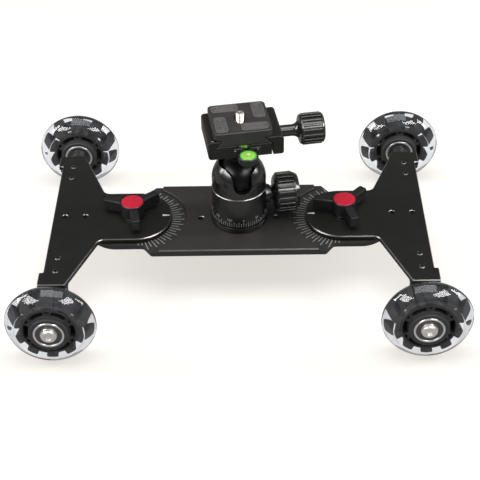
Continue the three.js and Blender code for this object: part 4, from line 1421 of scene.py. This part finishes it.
class DOLLY_OT_ball(bpy.types.Operator):
    """Makes the ball and its stem."""

    bl_idname = "dolly.ball"
    bl_label = "Ball and stem"

    def execute(self, context):
        ball = lathe(arc(16, BALL_HEIGHT, -90, 76, 34) + [(3.4, 95.65, 0.1), (0, 95.7)], sides=80)
        finish_piece("polished_ball", placed(ball, head_place()), [ball_black()], "ball", ["ball"])
        seat = arc(16.3, BALL_HEIGHT, 90, 71, 3)
        stem = lathe(seat + [(5, 96.2, 0.4), (5, 101, 2), (5.4, 104, 2), (9, 107.2, 0.5),
                             (9, 109.0), (0, 109.0)], sides=56)
        finish_piece("ball_neck", placed(stem, head_place()), [ball_black()], "clamp",
                     ["ball_stem"])
        return {"FINISHED"}


# Clamp


def along_y(profile, half, bevel):
    """A profile in X and Z drawn out along Y, both ends bevelled."""
    levels = [(-bevel, 0), (0, bevel), (0, 2 * half - bevel), (-bevel, 2 * half)]
    return placed(slab(profile, levels, edge=0), shift(0, half), turn(90, "X"))


def clamp_body_mesh():
    """A channel with a fixed jaw on the left, bored for the screw, with room for the tube level."""
    lip = CHANNEL_X - LIP_HALF
    body = along_y(rounded([
        (-24, 109.3, 2.6), (21.4, 109.3, 0.4), (21.4, 119.2, 0.3), (lip - 4, 119.2, 0.2),
        (lip, LIP_TOP, 0.4), (-24, LIP_TOP, 2.4)]), CLAMP_HALF, 0.4)
    bore = placed(lathe([(0, 13), (3.3, 13), (3.3, 24), (0, 24)], sides=32),
                  shift(0, 0, SCREW_HEIGHT), turn(90, "Y"))
    pocket = block(-3.5, 6.3, -22, -16.1, 115.8, 122)
    notch = placed(lathe([(0, 122.6), (1.7, 122.6), (1.7, 126), (0, 126)], sides=24),
                   shift(-19.4, -17.6))
    return carved(body, bore, pocket, notch)


def jaw_mesh():
    """The sliding jaw: a lip over the channel and a thick foot round the screw."""
    lip = CHANNEL_X + LIP_HALF
    jaw = along_y(rounded([
        (22.3, 109, 0.4), (30, 109, 1.6), (30, LIP_TOP, 3), (lip, LIP_TOP, 0.4),
        (lip + 3.75, 119.5, 0.1), (22.3, 119.5, 0.3)]), CLAMP_HALF, 0.4)
    bore = placed(lathe([(0, 19), (3.3, 19), (3.3, 33), (0, 33)], sides=32),
                  shift(0, 0, SCREW_HEIGHT), turn(90, "Y"))
    return carved(jaw, bore)


def clamp_knob_mesh():
    """A screw, a neck that sweeps out to a bead and a ribbed grip with a plain end."""
    sweep = []
    for k in range(7):
        angle = math.radians(90 * k / 6)
        sweep.append((4.25 + 4.6 * (1 - math.cos(angle)), 39.2 + 5.0 * math.sin(angle)))
    body = lathe([(0, 13.4), (3, 13.4), (3, 30.3), (4.25, 30.3, 0.2), *sweep, (9.8, 44.4, 0.3),
                  (10.9, 45.2, 0.4), (10.9, 46.2, 0.3), (10.0, 46.5), (10.0, 59.8),
                  (10.9, 60.0, 0.2), (10.7, 61.4, 0.5), (9.4, 62.2, 0.4), (7.2, 62.2, 0.2),
                  (6.9, 61.9, 0.2), (0, 61.9)], sides=72)
    count = sizes().clamp_ribs
    rib = rib_mesh(10.1, 11.5, 46.0, 60.4, 11, count)
    return merged(body, copies_round(rib, count, start=5))


class DOLLY_OT_clamp(bpy.types.Operator):
    """Makes the clamp, its sliding jaw and its knob."""

    bl_idname = "dolly.clamp"
    bl_label = "Clamp"

    def execute(self, context):
        black = [clamp_black(), bright_edge()]
        finish_piece("channel_clamp", placed(clamp_body_mesh(), head_place()), black, "clamp",
                     ["clamp_body"], sharp=20)
        pins = copies_at(small_screw_mesh(1.15), [(-20.6, -17.4, LIP_TOP), (-19.4, -17.6, 122.8)])
        finish_piece("clamp_pins", placed(pins, head_place()), [dark_steel()] * 2, "clamp")
        finish_piece("sliding_jaw", placed(jaw_mesh(), head_place()), black, "jaw", ["clamp_jaw"],
                     sharp=20)
        place = head_place() @ shift(0, 0, SCREW_HEIGHT) @ turn(90, "Y")
        finish_piece("fluted_clamp_knob", placed(clamp_knob_mesh(), place), [grip_black()] * 2,
                     "jaw_knob", ["clamp_knob"], sharp=32)
        return {"FINISHED"}


# Release plate

# Half lengths of the four pads, and their middles from the channel's, along X and Y
PADS = {
    "back_left_grip": (10, 4.6, -9.05, 12.9),
    "back_right_grip": (4.6, 10, 14.45, 7.5),
    "front_left_grip": (4.6, 10, -14.45, -7.5),
    "front_right_grip": (10, 4.6, 9.05, -12.9),
}


def release_plate_mesh():
    """A slab on a dovetail, with sunk pads and a slot for the camera screw."""
    x = CHANNEL_X
    half = 19.3
    rail = along_y(rounded([
        (x - 19.16, 119.5, 0.1), (x + 19.16, 119.5, 0.1), (x + 12.78, 127.15),
        (x - 12.78, 127.15)]), half, 0.3)
    plate = slab(rectangle(20.85, half, 3.5, x), [
        (-0.4, 124.3), (0, 124.7), (0, 129.6), (-0.12, 129.86), (-0.4, 130.0)])
    slot = slab(rectangle(3.5, 7, 3.45, x), [(0, 117), (0, 129.7), (0.6, 130.3)])
    room = slab(rectangle(7.3, 10.8, 7.2, x), [(0, 117), (0, 122.3)], edge=0)
    tools = [slot, room]
    for half_x, half_y, at_x, at_y in PADS.values():
        tools.append(slab(rectangle(half_x + 0.2, half_y + 0.2, 3.2, x + at_x, at_y),
                          [(0, 129.4), (0, 131)], edge=0))
    return carved(joined(rail, plate), *tools)


def pad_mesh(half_x, half_y, at_x, at_y):
    """A rubber pad with ribs that follow its outline."""
    bm = bmesh.new()
    rings = []

    def ring(inset, height):
        radius = max(0.25, 3 - inset)
        x, y = half_x - inset, half_y - inset
        points = []
        for quarter, (cx, cy) in enumerate(((x - radius, y - radius), (radius - x, y - radius),
                                            (radius - x, radius - y), (x - radius, radius - y))):
            for k in range(7):
                points.append(Vector((cx, cy)) + polar(radius, 90 * quarter + 15 * k))
        rings.append([bm.verts.new((CHANNEL_X + at_x + p.x, at_y + p.y, height)) for p in points])

    crest, valley = 130.62, 130.38
    ring(0, 129.7)
    ring(0, 130.4)
    ring(0.25, 130.6)
    inset = 0.8
    while inset < 3.9:
        ring(inset, crest)
        ring(inset + 0.2, valley)
        ring(inset + 0.36, valley)
        ring(inset + 0.56, crest)
        inset += 0.95
    for low, high in zip(rings, rings[1:]):
        for i in range(len(low)):
            bm.faces.new((low[i - 1], low[i], high[i], high[i - 1]))
    bm.faces.new(rings[0][::-1])
    bm.faces.new(rings[-1])
    bmesh.ops.recalc_face_normals(bm, faces=bm.faces)
    return bm


def camera_screw_mesh():
    """A threaded screw with a slot across its end, on a flat head."""
    pitch = sizes().thread_pitch / MM
    depth = sizes().thread_depth / MM
    sides, radius, bottom, top = 48, 3.175, 122.0, 135.8
    bm = bmesh.new()
    rings = []
    steps = int((top - bottom) / pitch * 12)
    for k in range(steps + 1):
        height = bottom + (top - bottom) * k / steps
        ring = []
        for i in range(sides):
            phase = ((height - bottom) / pitch - i / sides) % 1
            crest = radius - depth * min(1, abs(2 * phase - 1) * 1.25)
            crest = min(crest, 2.45 + (top - height))
            spot = polar(crest, 360 * i / sides)
            ring.append(bm.verts.new((*spot, height)))
        rings.append(ring)
    for low, high in zip(rings, rings[1:]):
        for i in range(sides):
            bm.faces.new((low[i - 1], low[i], high[i], high[i - 1]))
    bm.faces.new(rings[0][::-1])
    bm.faces.new(rings[-1])
    bmesh.ops.recalc_face_normals(bm, faces=bm.faces)
    bm = carved(bm, block(-0.5, 0.5, -4, 4, 134.6, 137))
    head = lathe([(0, 119.8), (6.6, 119.8, 0.3), (7, 120.2, 0.2), (7, 121.7, 0.3),
                  (6.6, bottom), (0, bottom)], sides=56)
    return merged(bm, head)


class DOLLY_OT_release(bpy.types.Operator):
    """Makes the quick-release plate, its ribbed pads and its camera screw."""

    bl_idname = "dolly.release"
    bl_label = "Release plate"

    def execute(self, context):
        # The slab's bevels take the lighter edge colour, a painted highlight.
        finish_piece("release_slab", placed(release_plate_mesh(), head_place()),
                     [slab_black(), slab_edge()], "release_plate", ["quick_release_plate"],
                     sharp=20)
        for name, sizes_and_place in PADS.items():
            finish_piece(f"ribbed_{name}", placed(pad_mesh(*sizes_and_place), head_place()),
                         [pad_rubber()], "release_plate", [name], sharp=60)
        place = head_place() @ shift(CHANNEL_X, -1.8) @ turn(30)
        finish_piece("threaded_screw", placed(camera_screw_mesh(), place), [warm_nickel()] * 2,
                     "camera_screw", ["camera_screw"], sharp=25)
        return {"FINISHED"}


# Levels


def holder_mesh():
    """A small bracket on the clamp's front with a round cup."""
    face = slab(rectangle(10, 2.8, 0.8, CUP_X, 115.2), [(0, 0), (0, 1.2), (-0.3, 1.5)])
    face = placed(face, shift(0, -19.8), turn(90, "X"))
    cup = lathe([(0, 108.3), (5.8, 108.3, 0.8), (7.0, 109.8, 0.8), (7.2, 111, 1), (7.2, 114.6, 0.3),
                 (6.9, 115.0, 0.2), (6.3, 115.0), (6.3, 111.1), (0, 111.1)], sides=64)
    room = lathe([(0, 111.1), (6.3, 111.1), (6.3, 120), (0, 120)], sides=64)
    behind = block(-12, 20, -19.8, 0, 100, 125)
    middle_of_cup = shift(CUP_X, CUP_Y)
    return carved(joined(face, placed(cup, middle_of_cup)), behind, placed(room, middle_of_cup))


class DOLLY_OT_levels(bpy.types.Operator):
    """Makes the level holder, the round level and the tube level."""

    bl_idname = "dolly.levels"
    bl_label = "Levels"

    def execute(self, context):
        place = head_place()
        finish_piece("level_bracket", placed(holder_mesh(), place), [moulded_black()] * 2, "clamp",
                     ["level_holder"], sharp=30)
        screw = placed(small_screw_mesh(0.95), turn(90, "X"))
        screws = copies_at(screw, [(-5.2, -21.3, 116.0), (11.2, -21.3, 116.0)])
        finish_piece("bracket_screws", placed(screws, place), [dark_steel()] * 2, "clamp")

        vial = lathe([(0, 111.4), (6, 111.4, 0.2), (6, 114.9, 0.2), (5.8, 115.15, 0.15),
                      (5.2, 115.15, 0.1), (5.0, 115.0), (4.2, 115.35), (2.8, 115.62),
                      (1.4, 115.76), (0, 115.8)], sides=56)
        painted(vial, lambda c: c.xy.length > 4.9 or c.z < 114.9, 1)
        bubble = lathe([(0, 115.6), (1.5, 115.65), (1.45, 115.74), (0.9, 115.8), (0, 115.82)],
                       sides=32)
        painted(placed(bubble, shift(0.3, 0.5)), lambda c: True, 2)
        line = lathe([(2.3, 115.55), (2.55, 115.55), (2.55, 115.72), (2.3, 115.76)], sides=48,
                     ring=True)
        painted(line, lambda c: True, 1)
        level = placed(merged(vial, bubble, line), place, shift(CUP_X, CUP_Y))
        finish_piece("round_vial", level, [vial_green(), vial_rim(), vial_bubble()], "clamp",
                     ["round_level"])

        tube = lathe([(0, -4.6), (1.2, -4.6, 0.2), (1.4, -4.3, 0.1), (1.4, -2.4), (1.38, -2.3),
                      (1.38, 2.3), (1.4, 2.4), (1.4, 4.3, 0.1), (1.2, 4.6, 0.2), (0, 4.6)],
                     sides=40)
        painted(tube, lambda c: abs(c.z) > 2.32, 1)
        painted(tube, lambda c: abs(c.z) < 1.0 and c.x > 0.9, 2)
        level = placed(tube, place, shift(CHANNEL_X, -17.8, 117.5), turn(90, "Y"))
        finish_piece("tube_vial", level, [vial_green(), moulded_black(), vial_bubble()], "clamp",
                     ["tube_level"])
        return {"FINISHED"}


# Panel, registration and main


OPERATORS = (
    DOLLY_OT_studio, DOLLY_OT_tyres, DOLLY_OT_hubs, DOLLY_OT_bearings, DOLLY_OT_axles,
    DOLLY_OT_plate, DOLLY_OT_marks, DOLLY_OT_arms, DOLLY_OT_brackets, DOLLY_OT_pivots,
    DOLLY_OT_knobs, DOLLY_OT_pan_base, DOLLY_OT_housing, DOLLY_OT_lock_knob, DOLLY_OT_ball,
    DOLLY_OT_clamp, DOLLY_OT_release, DOLLY_OT_levels,
)


class DOLLY_PT_panel(bpy.types.Panel):
    """Lists the dolly's sizes, colours and pieces."""

    bl_idname = "DOLLY_PT_panel"
    bl_label = "Camera dolly"
    bl_space_type = "VIEW_3D"
    bl_region_type = "UI"
    bl_category = "Dolly"

    def draw(self, context):
        layout = self.layout
        for group in (context.scene.dolly_sizes, context.scene.dolly_finishes,
                      context.scene.dolly_studio):
            box = layout.box()
            for key in group.__annotations__:
                box.prop(group, key)
        for operator in OPERATORS:
            layout.operator(operator.bl_idname)


GROUPS = {
    "dolly_sizes": DOLLY_PG_sizes,
    "dolly_finishes": DOLLY_PG_finishes,
    "dolly_studio": DOLLY_PG_studio,
}


def register():
    for kind in (*GROUPS.values(), *OPERATORS, DOLLY_PT_panel):
        bpy.utils.register_class(kind)
    for name, group in GROUPS.items():
        setattr(bpy.types.Scene, name, PointerProperty(type=group))


def unregister():
    for name in GROUPS:
        delattr(bpy.types.Scene, name)
    for kind in (DOLLY_PT_panel, *reversed(OPERATORS), *reversed(GROUPS.values())):
        bpy.utils.unregister_class(kind)


def main():
    register()
    for operator in OPERATORS:
        family, name = operator.bl_idname.split(".")
        getattr(getattr(bpy.ops, family), name)()


if __name__ == "__main__":
    main()
